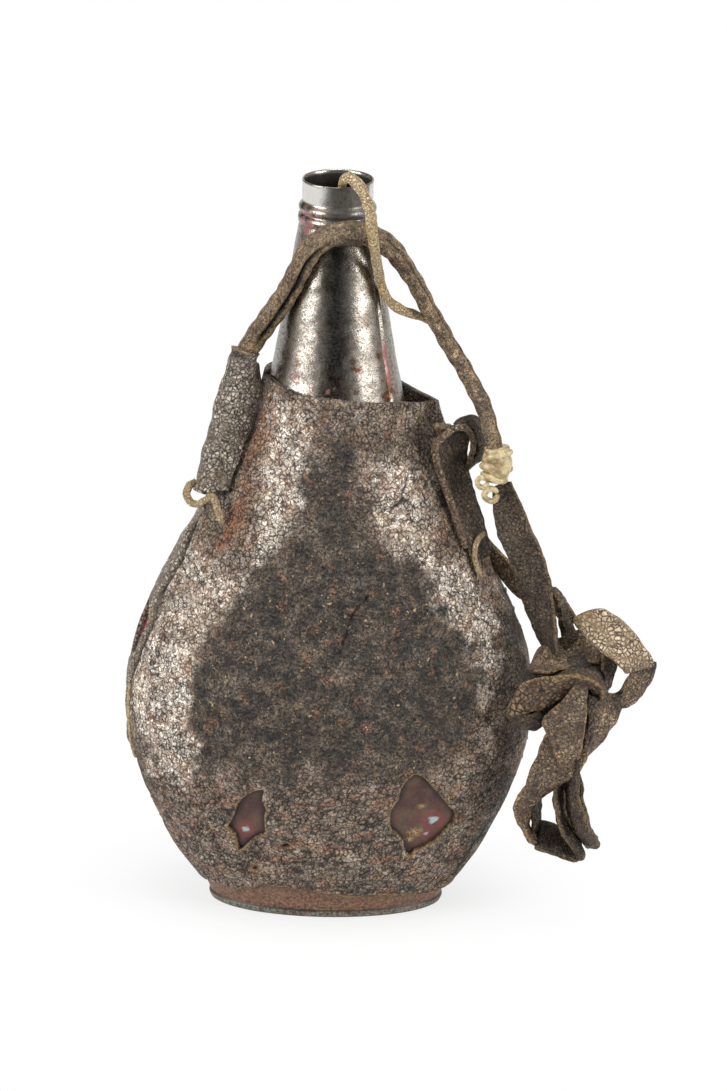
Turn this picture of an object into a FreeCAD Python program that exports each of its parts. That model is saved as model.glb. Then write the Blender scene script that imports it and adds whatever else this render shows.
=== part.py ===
import FreeCAD, Part
import math
import os
from FreeCAD import Vector

# A leather covered tin water flask, in millimetres.
# +Z is up, the front faces -Y, and the origin is the middle of the flat base.

# Tin bottle
TIN = 0.6
FOOT_HALF_WIDTH = 41.0
FOOT_HALF_DEPTH = 21.9
FOOT_TOP_HALF_WIDTH = 45.0
FOOT_TOP_HALF_DEPTH = 24.2
FOOT_TOP_HEIGHT = 9.0
BELLY_HALF_WIDTH = 71.0
BELLY_HALF_DEPTH = 40.2
BELLY_HEIGHT = 75.0
SHOULDER_HEIGHT = 184.0
NECK_BASE_RADIUS = 26.2
NECK_TOP_RADIUS = 13.6
NECK_HEIGHT = 72.5
LAP_ANGLE = 57.0
LAP_WIDTH = 14.0
TRAY_RIM_HEIGHT = 2.2
TRAY_RIM_REACH = 0.96

# Shape of the bottle between the belly and each end: share of the way, share of the swell
SHOULDER_SHAPE = ((0.20, 0.955), (0.35, 0.832), (0.50, 0.66), (0.66, 0.453), (0.83, 0.23))
LOWER_SHAPE = ((0.23, 0.938), (0.45, 0.76), (0.68, 0.508), (0.85, 0.28))

# Mouth collar with two rolled beads
MOUTH_RADIUS = 12.6
COLLAR_HEIGHT = 15.0
BEAD_PITCH = 3.1
LOWER_BEAD_RISE = 1.3
UPPER_BEAD_RISE = 1.1

# Leather cover
LEATHER = 2.2
SEAM_GAP = 0.8
EAR_STAND_OFF = 10.5
EAR_BOTTOM_HEIGHT = 98.0
EAR_STEPS = 4
EAR_TOUCH_SHARE = 0.97
EAR_DEPTH_SHARE = 0.93
EAR_LEAST_DEPTH = 0.004
EAR_ROOT_SHARE = 0.2
STITCH_PITCH = 7.0
STITCH_RADIUS = 0.6
STITCH_LENGTH = 5.0

# Top edge of the cover, seen from the front: across, height
COVER_TOP_LINE = ((-90, 204), (-26, 200.5), (-12, 198), (0, 197.5), (24, 193.4), (38, 189.5), (90, 186))

# Ragged bottom edge of the front and of the back, seen from the front: across, height
FRONT_RAG = ((-90, 7.5), (-45, 7.5), (-40, 9), (-28, 9.5), (-24, 12.8), (-14, 13), (-11, 11.3), (-3, 11.3),
             (10, 8.5), (25, 8.6), (40, 6.8), (90, 6))
BACK_RAG = ((-90, 7.5), (-35, 8), (-20, 10.5), (-12, 8.5), (15, 8), (28, 10), (90, 6))

# Torn holes in the front, seen from the front: across, height
LEFT_HOLE = ((-22.5, 54.5), (-28.5, 52), (-32.5, 46.5), (-34.5, 39.5), (-36, 36.5), (-33, 34), (-31.5, 27.5),
             (-27.5, 32), (-21.5, 35), (-22.5, 43), (-23.5, 49.5))
RIGHT_HOLE = ((31, 61), (36, 58), (41, 51), (46.5, 43), (46.5, 40), (44, 36), (40, 31.5), (32, 28),
              (29.5, 26), (28, 32), (23, 40.5), (23, 47), (26, 52.5), (28, 58))

# Left seam: height, then how far in front of the side its open edge runs
LEFT_SEAM_LINE = ((210, 4), (160, 6), (147, 7), (133, 13), (117, 12), (107, 14.5), (97, 13), (87, 10.5),
                  (78, 8), (69, 8), (58, 6), (45, 2), (35, 0), (-5, 0))
STRIP_TOP = 150.0
STRIP_BOTTOM = 52.0
STRIP_BACK = 1.0
STRIP_WIDTH = 6.5
BARE_TOP = 114.0
BARE_BOTTOM = 92.0
BARE_BEHIND = 3.0
LEFT_STITCHES = (24.0, 38.0)
RIGHT_STITCHES = (31.0, 115.0)

# Rolled strap and its sewn sleeve at the left shoulder
STRAP_DIAMETER = 7.2
SLEEVE_WALL = 1.3
SLEEVE_CLEARANCE = 0.25
SLEEVE_SHRINK = 0.9
SLEEVE_POINTS = ((-31, -6, 214), (-33.8, -8, 203.5), (-37.6, -10.5, 190), (-41.3, -12.5, 175.5), (-45.2, -14, 160))
FLANGE_REACH = 8.5
FLANGE_THICKNESS = 2.0
SLEEVE_STITCH_LENGTH = 4.0
NECK_STRAP_POINTS = ((-32.4, -7, 208.7), (-30.3, -5.5, 216.6), (-25.5, -9.5, 226.5), (-18, -13, 241),
                     (-11.5, -16, 251.5), (-1, -19, 257), (9.5, -18, 257), (18.5, -12.5, 251), (27, -8, 238),
                     (35.5, -8, 222), (45, -10, 207), (52.5, -13, 194.5), (56.5, -16, 183), (58.5, -17, 172.5))

# Rawhide knot that joins the rolled strap to the flat one
KNOT_WALL = 2.0
# Wall of the knot's collar at its top, middle and foot, and the share of it above the strap's end
KNOT_WALL_SHARES = (0.7, 1.0, 0.5)
KNOT_ABOVE = 0.45
# Open ring of thong: first angle and step in degrees
THONG_RING_START = 20
THONG_RING_STEP = 32
THONG_RING_POINTS = 11
KNOT_COLLAR_LENGTH = 12.0
KNOT_BALL_RADIUS = 3.6
KNOT_BALL_CENTRE = (56.5, -21, 164)
KNOT_RINGS = (((53.5, -21.5, 161.5), 2.0), ((56.8, -22, 159), 2.4))
KNOT_THONG_RADIUS = 1.2

# Thongs and lace
THONG_DIAMETER = 3.0
LACE_DIAMETER = 3.6
LEFT_TIE_POINTS = ((-38, -22, 147), (-40.5, -22, 153), (-44, -21, 156.5), (-49, -19, 157.5),
                   (-51, -14, 159), (-48, -10.5, 160.5))
RIGHT_TIE_POINTS = ((56.5, -11.8, 143), (53, -16.2, 141.5), (51.5, -17.6, 136), (53.8, -17.2, 129))
LACE_POINTS = ((1.8, -7.2, 258.5), (2.4, -7.9, 266.5), (2.6, -8.6, 274), (3.8, -16, 274.2), (7, -17.5, 269.7),
               (10.5, -21.5, 264.8), (12, -26.3, 259.5), (13.2, -24.5, 252), (14.2, -17, 245.5), (15.4, -12.8, 238.5), (17.5, -12.5, 231.5),
               (22.5, -9.5, 226.3), (29, -4.5, 223), (36.5, -1.5, 219.5))

# Flat strap and the lump at the middle of its bundle
STRAP_THICKNESS = 2.2
CORE_RADIUS = 11.0
CORE_CENTRE = (88, -26, 90)

# Bands of flat strap: the two edges of the strap at each place along it
CARRY_STRAP = (
    ((56, -17, 162.5), (61, -17, 162.5)),
    ((56.5, -16, 157.5), (66, -18, 159)),
    ((59, -16, 146), (71.5, -20, 149.5)),
    ((62, -17.5, 140.5), (76.5, -20.5, 139)),
    ((66.5, -16, 128.5), (79.5, -24, 129.5)),
    ((71.5, -15.5, 114.5), (81, -26.5, 117.5)),
    ((76.5, -16, 105.5), (82.5, -28, 109)),
    ((79, -18, 101), (82, -30, 104.5)),
)
RETURN_STRAP = (
    ((62.2, 4.5, 131.5), (60.4, -1, 138.5)),
    ((64.2, 3.8, 126.5), (64, -3.5, 134.5)),
    ((68.5, 1.5, 120), (70.2, -7.5, 127.5)),
    ((75.5, -2.5, 115), (77.5, -11.5, 122.5)),
    ((82, -5.5, 112.5), (85.5, -14.5, 120)),
    ((84.5, -9, 108), (88.5, -19, 114)),
)
TOP_LOOP = (
    ((86, -21.5, 115), (87.5, -10.5, 108.5)),
    ((99.5, -24, 118), (92.5, -20, 106.5)),
    ((104.5, -26, 115), (98, -22, 103)),
    ((110.5, -29.5, 109.5), (105, -20.5, 100)),
    ((115, -29.5, 103), (110, -18.5, 95.5)),
    ((117, -26, 96.5), (113, -14, 90.5)),
    ((112.5, -23.5, 84.5), (109, -10.5, 82)),
    ((99.5, -28, 85), (99, -14, 84)),
)
LEFT_ROLL = (
    ((72, -19, 96), (73.5, -33, 96.5)),
    ((77, -20, 101.5), (78.5, -34, 99)),
    ((82.5, -19, 102.5), (84.5, -33, 103)),
    ((93.5, -15, 105), (95, -27, 106)),
)
WRAP = (
    ((80, -23, 96.5), (81.5, -37, 97)),
    ((88, -24, 101), (87, -38, 99.5)),
    ((96.5, -24.5, 101.5), (92.5, -37.5, 99)),
    ((100, -22, 96.5), (97.5, -36, 95)),
    ((100, -18, 88), (98, -32, 89)),
)
LEAF = (
    ((63.5, -31, 82.5), (64.5, -31, 81)),
    ((66, -33, 90.5), (70.5, -35, 84.5)),
    ((69.5, -37, 98), (76, -35, 85.5)),
    ((77, -41.5, 101), (82.5, -34.5, 90.5)),
    ((86, -43.5, 102), (88, -34.5, 94.5)),
    ((98, -39, 96), (94.5, -31, 92)),
    ((98, -35.5, 90), (94.5, -26.5, 87.5)),
)
LOW_FOLD = (
    ((65, -32, 80), (66.5, -24, 73)),
    ((69.5, -33, 80.5), (70.5, -25, 71.5)),
    ((81.5, -30.5, 86), (80.5, -25.5, 74)),
)
FLAP = (
    ((86.5, -36, 93), (93, -26, 91)),
    ((84.5, -37, 87.5), (94, -29, 83.5)),
    ((77, -33, 75), (93.5, -35, 68.5)),
    ((72.5, -34, 63), (83.5, -30, 55.5)),
    ((67.5, -34, 49.5), (74, -26, 46.5)),
    ((67, -32.5, 45), (73, -23.5, 40)),
    ((74, -29, 33), (77.5, -19, 27.5)),
)
SIDE_BAND = (
    ((97.5, -28, 86), (107, -20, 80)),
    ((99, -29.5, 76.5), (104.5, -18.5, 70)),
    ((94.5, -32, 63.5), (96, -22, 58.5)),
)
LOW_LOOP = (
    ((77.5, -15, 36.5), (75, -25, 28.5)),
    ((84, -14, 35), (83, -22, 25)),
    ((90.5, -15.5, 25), (95, -26.5, 26)),
    ((85.5, -30.5, 34.5), (91, -19.5, 32.5)),
    ((82.5, -31.5, 44.5), (86.5, -20.5, 42.5)),
    ((81.5, -32.5, 65), (85.5, -21.5, 62.5)),
)
SECOND_LOOP = (
    ((85.5, -26, 64), (90, -36, 68)),
    ((87, -26, 44), (91.5, -36, 49)),
    ((89.5, -24, 36.5), (94.5, -34, 40.5)),
    ((95, -16, 26), (98.5, -26, 31)),
    ((92, -12, 29), (96, -22, 34)),
    ((88, -12, 43.5), (92, -22, 47.5)),
    ((86, -14, 57.5), (90, -24, 62)),
)

LEFT_RISER = (
    ((74, -27, 52), (77, -17, 49)),
    ((74, -26, 40), (77.5, -16, 36.5)),
    ((74.5, -25, 31.5), (77.5, -15, 26.5)),
)

# Tab at the right shoulder and the strap folded over its top
RIGHT_TAB = (
    ((36.5, -15, 181), (48, -7.5, 183)),
    ((37.5, -13.5, 171), (47.5, -6, 172)),
    ((39, -12.5, 163), (49.5, -4.5, 166)),
    ((42, -13.5, 155), (52.5, -4.5, 158.5)),
    ((45.5, -15, 147), (56, -5, 151)),
    ((48.5, -16.5, 139), (58, -7.5, 143.5)),
    ((50, -16.5, 132), (57.5, -9.5, 136.5)),
)
TAB_LOOP = (
    ((38.5, -14.5, 181), (38.5, -4, 182.5)),
    ((41, -15, 187), (41, -4.5, 188)),
    ((46, -14, 189.5), (46, -3.5, 190.5)),
    ((50, -11.5, 186.5), (50, -1.5, 187.5)),
    ((51.5, -9.5, 179), (51.5, 0, 180)),
    ((49, -5, 170.5), (49, 3, 171.5)),
)

# Reach of the blocks that cut the cover along its seams, and lengths longer than the whole flask
SEAM_SIDE = 200.0
SEAM_START = 5.0
COVER_TOP = 205.0
TALL = 400.0

# Sides of the round sections
SIDES = 40

# Sides of the many-sided rods, and the direction that their first corner is turned from
TUBE_SIDES = 16
BALL_SIDES = 12
THREAD_SIDES = 6
RING_GUIDE = Vector(0.1, 1, 0.2)
# Heights of a ball's rings in shares of its radius
BALL_LEVELS = (-0.98, -0.75, -0.35, 0.1, 0.5, 0.8, 0.98)
# Share of a cord's straight run that the arc at its end takes
ARC_SHARE = 0.45


def surface_front(shape, across, height):
    """The foremost point of a shape at a place seen from the front."""
    ray = Part.makeLine(Vector(across, -TALL, height), Vector(across, 0, height))
    hit = shape.common(ray)
    return min(vertex.Point.y for vertex in hit.Vertexes) if hit.Vertexes else 0.0


def surface_side(shape, depth, height, side):
    """The outermost point of a shape to one side, at a depth and height."""
    ray = Part.makeLine(Vector(0, depth, height), Vector(side * TALL, depth, height))
    hit = shape.common(ray)
    return max((vertex.Point.x for vertex in hit.Vertexes), key=lambda x: side * x)


def polygon(points):
    return Part.makePolygon(list(points) + [points[0]])


def flat_face(points):
    return Part.Face(polygon(points))


def stack(rings):
    """A closed solid through rings of points, with flat facets between one ring and the next."""
    faces = [flat_face(rings[0]), flat_face(rings[-1])]
    for low, high in zip(rings, rings[1:]):
        for here in range(len(low)):
            there = (here + 1) % len(low)
            faces.append(flat_face([low[here], low[there], high[here]]))
            faces.append(flat_face([low[there], high[there], high[here]]))
    return Part.Solid(Part.Shell(faces))


def ellipse_ring(half_width, half_depth, height):
    turns = [2 * math.pi * number / SIDES for number in range(SIDES)]
    return [Vector(half_width * math.cos(turn), half_depth * math.sin(turn), height) for turn in turns]


def circle_wire(centre, normal, radius):
    return Part.Wire([Part.Circle(centre, normal, radius).toShape()])


def side_prism(outline):
    """A block through the whole flask, of an outline seen from the front."""
    face = Part.Face(polygon([Vector(x, -SEAM_SIDE, z) for x, z in outline]))
    return face.extrude(Vector(0, 2 * SEAM_SIDE, 0))


def swell_sections():
    """Height, half width and half depth of the bottle from the foot's top to the shoulder."""
    sections = [(FOOT_TOP_HEIGHT, FOOT_TOP_HALF_WIDTH, FOOT_TOP_HALF_DEPTH)]
    for way, swell in reversed(LOWER_SHAPE):
        sections.append((BELLY_HEIGHT + (FOOT_TOP_HEIGHT - BELLY_HEIGHT) * way,
                         FOOT_TOP_HALF_WIDTH + (BELLY_HALF_WIDTH - FOOT_TOP_HALF_WIDTH) * swell,
                         FOOT_TOP_HALF_DEPTH + (BELLY_HALF_DEPTH - FOOT_TOP_HALF_DEPTH) * swell))
    sections.append((BELLY_HEIGHT, BELLY_HALF_WIDTH, BELLY_HALF_DEPTH))
    for way, swell in SHOULDER_SHAPE:
        sections.append((BELLY_HEIGHT + (SHOULDER_HEIGHT - BELLY_HEIGHT) * way,
                         NECK_BASE_RADIUS + (BELLY_HALF_WIDTH - NECK_BASE_RADIUS) * swell,
                         NECK_BASE_RADIUS + (BELLY_HALF_DEPTH - NECK_BASE_RADIUS) * swell))
    sections.append((SHOULDER_HEIGHT, NECK_BASE_RADIUS, NECK_BASE_RADIUS))
    return sections


def bottle_block(growth):
    """The bottle up to the neck as a block, grown sideways."""
    rings = [ellipse_ring(FOOT_HALF_WIDTH + growth, FOOT_HALF_DEPTH + growth, TIN)]
    rings += [ellipse_ring(width + growth, depth + growth, height) for height, width, depth in swell_sections()]
    return stack(rings)


def neck_block(growth):
    radii = (NECK_BASE_RADIUS + growth, NECK_TOP_RADIUS + growth)
    heights = (SHOULDER_HEIGHT, SHOULDER_HEIGHT + NECK_HEIGHT)
    return stack([ellipse_ring(radius, radius, height) for radius, height in zip(radii, heights)])


def half_space(front):
    """Everything in front of, or behind, the middle of the flask."""
    corner = Vector(-SEAM_SIDE, -SEAM_SIDE if front else 0, -SEAM_SIDE)
    return Part.makeBox(2 * SEAM_SIDE, SEAM_SIDE, 2 * TALL, corner)


def base_tray(bottle):
    width = FOOT_HALF_WIDTH + TRAY_RIM_REACH
    depth = FOOT_HALF_DEPTH + TRAY_RIM_REACH
    return stack([ellipse_ring(width, depth, height) for height in (0, TRAY_RIM_HEIGHT)]).cut(bottle)


def neck_cone():
    cone = neck_block(0).cut(neck_block(-TIN))
    lap = neck_block(TIN).cut(neck_block(0))
    reach = 2 * NECK_BASE_RADIUS
    turn = math.radians(LAP_ANGLE)
    edge = math.radians(LAP_ANGLE + LAP_WIDTH)
    outline = [Vector(0, 0, SHOULDER_HEIGHT),
               Vector(reach * math.sin(turn), -reach * math.cos(turn), SHOULDER_HEIGHT),
               Vector(reach * math.sin(edge), -reach * math.cos(edge), SHOULDER_HEIGHT)]
    wedge = Part.Face(polygon(outline)).extrude(Vector(0, 0, NECK_HEIGHT))
    return cone.fuse(lap.common(wedge))


def mouth_collar():
    base = SHOULDER_HEIGHT + NECK_HEIGHT
    top = base + COLLAR_HEIGHT
    root = MOUTH_RADIUS + TIN
    profile = [(root, base)]
    for number, rise in enumerate((LOWER_BEAD_RISE, UPPER_BEAD_RISE)):
        start = base + number * BEAD_PITCH
        profile += [(MOUTH_RADIUS + rise, start + 0.25 * BEAD_PITCH), (MOUTH_RADIUS + rise, start + 0.6 * BEAD_PITCH),
                    (root, start + 0.85 * BEAD_PITCH)]
    profile += [(MOUTH_RADIUS, base + 2.1 * BEAD_PITCH), (MOUTH_RADIUS, top)]
    bore = MOUTH_RADIUS - TIN
    return stack([ellipse_ring(radius, radius, height) for radius, height in profile]).cut(
        stack([ellipse_ring(bore, bore, height) for height in (base, top)]))


def cover_half_sizes(height):
    """Half width and half depth of the closed leather cover at a height."""
    rows = swell_sections() + [(SHOULDER_HEIGHT + NECK_HEIGHT, NECK_TOP_RADIUS, NECK_TOP_RADIUS)]
    for low, high in zip(rows, rows[1:]):
        if low[0] <= height <= high[0]:
            share = (height - low[0]) / (high[0] - low[0])
            return (low[1] + (high[1] - low[1]) * share + LEATHER, low[2] + (high[2] - low[2]) * share + LEATHER)
    return rows[0][1] + LEATHER, rows[0][2] + LEATHER


def ear_block(shrink):
    """The right side of the cover where it stands off the bottle, as a pointed block."""
    rings = []
    rise = (SHOULDER_HEIGHT - EAR_BOTTOM_HEIGHT) / EAR_STEPS
    for number in range(EAR_STEPS + 2):
        height = EAR_BOTTOM_HEIGHT + number * rise
        half_width, half_depth = cover_half_sizes(height)
        tip = half_width + EAR_STAND_OFF * min(number, EAR_STEPS) / EAR_STEPS - TIN
        touch = EAR_TOUCH_SHARE * half_width ** 2 / tip
        narrowing = math.sqrt(max(1 - (half_width / tip) ** 2, EAR_LEAST_DEPTH))
        depth = EAR_DEPTH_SHARE * half_depth * narrowing - TIN * shrink / LEATHER
        rings.append([Vector(tip - shrink, 0, height), Vector(touch - shrink, depth, height),
                      Vector(EAR_ROOT_SHARE * half_width, 0, height), Vector(touch - shrink, -depth, height)])
    return stack(rings)


def below(line):
    return side_prism([(line[0][0], -TALL)] + list(line) + [(line[-1][0], -TALL)])


def seam_depth(height):
    """How far in front of the side the left seam's open edge runs at a height."""
    for upper, lower in zip(LEFT_SEAM_LINE, LEFT_SEAM_LINE[1:]):
        if lower[0] <= height <= upper[0]:
            share = (height - lower[0]) / (upper[0] - lower[0])
            return lower[1] + (upper[1] - lower[1]) * share
    return 0.0


def seam_prism(front_edge, back_edge, low, high):
    """A block to the left of the flask, between two lines that follow the left seam's heights."""
    heights = [height for height, depth in LEFT_SEAM_LINE if low < height < high]
    heights = [high] + heights + [low]
    near = [Vector(-SEAM_SIDE, front_edge(height), height) for height in heights]
    far = [Vector(-SEAM_SIDE, back_edge(height), height) for height in reversed(heights)]
    return Part.Face(polygon(near + far)).extrude(Vector(SEAM_SIDE - SEAM_START, 0, 0))


def far_front(height):
    return -SEAM_SIDE


def far_back(height):
    return SEAM_SIDE


def front_edge(height):
    return -seam_depth(height)


def behind_front_edge(height):
    return -seam_depth(height) + SEAM_GAP


def strip_back_edge(height):
    return -seam_depth(height) + STRIP_WIDTH if BARE_BOTTOM < height < BARE_TOP else STRIP_BACK


def bare_back_edge(height):
    return BARE_BEHIND


def jacket_parts(bottle, cone):
    """The front, the back and the left seam strip of the leather cover, and the whole outer form."""
    outer = bottle_block(LEATHER).fuse([neck_block(LEATHER), ear_block(0)])
    hide = outer.cut([bottle, neck_block(0), cone, ear_block(LEATHER)]).common(below(COVER_TOP_LINE))
    right = Part.makeBox(SEAM_SIDE, SEAM_SIDE - SEAM_GAP / 2, TALL, Vector(-SEAM_START, -SEAM_SIDE, 0))
    front = hide.common(seam_prism(far_front, front_edge, 0, COVER_TOP).fuse(right)).cut(below(FRONT_RAG))
    front = front.cut([side_prism(hole).common(half_space(True)) for hole in (LEFT_HOLE, RIGHT_HOLE)])
    strip_zone = seam_prism(behind_front_edge, strip_back_edge, STRIP_BOTTOM, STRIP_TOP)
    bare_zone = seam_prism(front_edge, bare_back_edge, BARE_BOTTOM, BARE_TOP)
    right = Part.makeBox(SEAM_SIDE, SEAM_SIDE, TALL, Vector(-SEAM_START, SEAM_GAP / 2, 0))
    back = hide.common(seam_prism(behind_front_edge, far_back, 0, COVER_TOP).fuse(right))
    back = back.cut([below(BACK_RAG), strip_zone, bare_zone])
    return front, back, hide.common(strip_zone), outer


def largest(shape):
    """The largest solid of what a cut leaves."""
    return max(shape.Solids, key=lambda solid: solid.Volume)


def ring_across(centre, heading, radius, sides):
    """A ring of points round a line."""
    side = heading.cross(RING_GUIDE).normalize()
    up = side.cross(heading).normalize()
    turns = [2 * math.pi * number / sides for number in range(sides)]
    return [centre + side * (radius * math.cos(turn)) + up * (radius * math.sin(turn)) for turn in turns]


def rod(points, radii, sides):
    """A many-sided rod along straight stretches, with its own radius at each point."""
    points = [Vector(*point) for point in points]
    rings = []
    for number, point in enumerate(points):
        heading = points[min(number + 1, len(points) - 1)] - points[max(number - 1, 0)]
        rings.append(ring_across(point, heading.normalize(), radii[number], sides))
    return stack(rings)


def staple(middle, along, length=STITCH_LENGTH):
    """One stitch: a short six sided thread."""
    half = along * (length / 2)
    return rod([middle - half, middle + half], [STITCH_RADIUS] * 2, THREAD_SIDES)


def middle_depth(height):
    return 0.0


def seam_stitches(cover, side, heights, depth_of):
    """Stitches that lie across a side seam, one pitch apart."""
    threads = []
    low, high = heights
    for number in range(int((high - low) / STITCH_PITCH) + 1):
        height = low + number * STITCH_PITCH
        depth = depth_of(height)
        reach = surface_side(cover, depth, height, side) + side * STITCH_RADIUS
        threads.append(staple(Vector(reach, depth, height), Vector(0, 1, 0)))
    return Part.makeCompound(threads).cut(cover)


def thong(points):
    """A short tied thong, six sided."""
    return rod(points, [THONG_DIAMETER / 2] * len(points), THREAD_SIDES)


def band(stations, thickness=STRAP_THICKNESS):
    """A flat strap: straight stretches between the two edges given at each place."""
    middles = [(Vector(*a) + Vector(*b)) * 0.5 for a, b in stations]
    rings = []
    for number, (a, b) in enumerate(stations):
        ahead = middles[min(number + 1, len(middles) - 1)]
        behind = middles[max(number - 1, 0)]
        across = Vector(*b) - Vector(*a)
        lift = (ahead - behind).cross(across).normalize() * (thickness / 2)
        rings.append([Vector(*a) - lift, Vector(*b) - lift, Vector(*b) + lift, Vector(*a) + lift])
    return stack(rings)


def cord_path(points):
    """Straight runs joined by tangent arcs, each as large as its two runs allow."""
    corners = [Vector(*point) for point in points]
    edges = []
    radii = []
    start = corners[0]
    for before, corner, after in zip(corners, corners[1:], corners[2:]):
        into = (corner - before).normalize()
        out = (after - corner).normalize()
        turn = into.getAngle(out)
        reach = ARC_SHARE * min((corner - before).Length, (after - corner).Length)
        radius = reach / math.tan(turn / 2)
        radii.append(radius)
        arc_start = corner - into * reach
        arc_end = corner + out * reach
        inward = (out - into).normalize()
        middle = corner + inward * (radius / math.cos(turn / 2) - radius)
        edges.append(Part.LineSegment(start, arc_start).toShape())
        edges.append(Part.Arc(arc_start, middle, arc_end).toShape())
        start = arc_end
    edges.append(Part.LineSegment(start, corners[-1]).toShape())
    return Part.Wire(edges), radii


def tube(name, points, diameter):
    path, radii = cord_path(points)
    heading = Vector(*points[1]) - Vector(*points[0])
    ring = circle_wire(Vector(*points[0]), heading, diameter / 2)
    solid = path.makePipeShell([ring], True, False)
    expected = math.pi * diameter ** 2 / 4 * path.Length
    print("%s: %.1f mm long, volume %.0f of %.0f, radii %s"
          % (name, path.Length, solid.Volume, expected, " ".join("%.1f" % radius for radius in radii)))
    return solid


def strap_sleeve(cover):
    """The sewn sleeve: a tapering tube with a flat flange that lies towards the cover's shoulder."""
    bore_radius = STRAP_DIAMETER / 2 + SLEEVE_CLEARANCE
    last = len(SLEEVE_POINTS) - 1
    bores = [bore_radius - SLEEVE_SHRINK * number / last for number in range(last + 1)]
    outer = rod(SLEEVE_POINTS, [radius + SLEEVE_WALL for radius in bores], TUBE_SIDES)
    flange = []
    for number, (x, y, z) in enumerate(SLEEVE_POINTS[1:], 1):
        edge_x = x + FLANGE_REACH
        edge_y = surface_front(cover, edge_x, z) - FLANGE_THICKNESS
        flange.append(((x, y - bores[number] - SLEEVE_WALL / 2, z), (edge_x, edge_y, z)))
    shell = outer.fuse(band(flange, FLANGE_THICKNESS)).cut([rod(SLEEVE_POINTS, bores, TUBE_SIDES), cover])
    lift = FLANGE_THICKNESS / 2 + STITCH_RADIUS
    stitches = []
    for (a, b), (c, d) in zip(flange, flange[1:]):
        here = (Vector(*a) + Vector(*b) * 2) / 3
        there = (Vector(*c) + Vector(*d) * 2) / 3
        along = (there - here).normalize()
        middle = (here + there) * 0.5 - Vector(0, lift, 0)
        stitches.append(staple(middle, along, SLEEVE_STITCH_LENGTH).cut(shell))
    return largest(shell), Part.makeCompound(stitches)


def ball(centre, radius):
    """A ball with few flat sides."""
    points = [Vector(centre[0], centre[1], centre[2] + radius * level) for level in BALL_LEVELS]
    return rod(points, [radius * math.sqrt(1 - level ** 2) for level in BALL_LEVELS], BALL_SIDES)


def thong_ring(centre, radius):
    """A small open ring of rawhide."""
    turns = [math.radians(THONG_RING_START + THONG_RING_STEP * number) for number in range(THONG_RING_POINTS)]
    points = [Vector(centre[0] + radius * math.cos(turn), centre[1], centre[2] + radius * math.sin(turn))
              for turn in turns]
    return rod(points, [KNOT_THONG_RADIUS] * len(points), THREAD_SIDES)


def rawhide_knot():
    """A thick collar that grips the strap's end, with the knotted ends of the thong beside it."""
    end = Vector(*NECK_STRAP_POINTS[-1])
    heading = (end - Vector(*NECK_STRAP_POINTS[-2])).normalize()
    inner = STRAP_DIAMETER / 2 + SLEEVE_CLEARANCE
    top = end - heading * (KNOT_COLLAR_LENGTH * KNOT_ABOVE)
    low = end + heading * (KNOT_COLLAR_LENGTH * (1 - KNOT_ABOVE))
    middle = (top + low) * 0.5
    walls = [inner + KNOT_WALL * share for share in KNOT_WALL_SHARES]
    collar = rod([top, middle, low], walls, TUBE_SIDES)
    collar = collar.cut(rod([top - heading, end], [inner, inner], TUBE_SIDES))
    return collar.fuse([ball(KNOT_BALL_CENTRE, KNOT_BALL_RADIUS)]
                       + [thong_ring(centre, radius) for centre, radius in KNOT_RINGS])


def strap_bundle():
    """The rest of the flat strap, wound round itself and tied, as one closed form of its bands and loops."""
    bands = [band(stations) for stations in (TOP_LOOP, LEFT_ROLL, WRAP, LEAF, LOW_FOLD, FLAP, SIDE_BAND, LOW_LOOP,
                                             SECOND_LOOP, LEFT_RISER)]
    return ball(CORE_CENTRE, CORE_RADIUS).fuse(bands)


def build():
    parts = {}
    bottle = bottle_block(0)
    shell = bottle.cut(bottle_block(-TIN))
    parts["body_front_shell"] = shell.common(half_space(True))
    parts["body_back_shell"] = shell.common(half_space(False))
    parts["base_tray"] = base_tray(bottle)
    cone = neck_cone()
    parts["neck_cone"] = cone
    parts["mouth_collar"] = mouth_collar()
    front, back, strip, cover = jacket_parts(bottle, cone)
    parts["jacket_front"] = front
    parts["jacket_back"] = back
    parts["left_seam_strip"] = strip
    parts["seam_stitches_left"] = seam_stitches(cover, -1, LEFT_STITCHES, front_edge)
    parts["seam_stitches_right"] = seam_stitches(cover, 1, RIGHT_STITCHES, middle_depth)
    sleeve, sleeve_stitches = strap_sleeve(cover)
    parts["strap_sleeve"] = sleeve
    parts["sleeve_stitches"] = sleeve_stitches
    parts["left_tie"] = largest(thong(LEFT_TIE_POINTS).cut([cover, sleeve]))
    parts["neck_strap"] = tube("neck_strap", NECK_STRAP_POINTS, STRAP_DIAMETER)
    knot = rawhide_knot()
    parts["rawhide_knot"] = knot
    bundle = strap_bundle()
    parts["strap_bundle"] = bundle
    parts["carry_strap"] = largest(band(CARRY_STRAP).cut([knot, bundle]))
    parts["return_strap"] = largest(band(RETURN_STRAP).cut(bundle))
    tab = largest(band(RIGHT_TAB).cut(cover))
    parts["right_tab"] = tab
    parts["tab_loop"] = largest(band(TAB_LOOP).cut([tab, cover]))
    parts["right_tie"] = largest(thong(RIGHT_TIE_POINTS).cut([tab, cover]))
    parts["mouth_lace"] = tube("mouth_lace", LACE_POINTS, LACE_DIAMETER)
    return parts


def write(parts):
    os.makedirs("parts", exist_ok=True)
    for name, shape in parts.items():
        shape.exportStep("parts/%s.step" % name)
        print("%-24s solids %d valid %s volume %.0f" % (name, len(shape.Solids), shape.isValid(), shape.Volume))


write(build())
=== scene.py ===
import bpy
import math
import numpy as np
from mathutils import Matrix, Vector, noise


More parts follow.
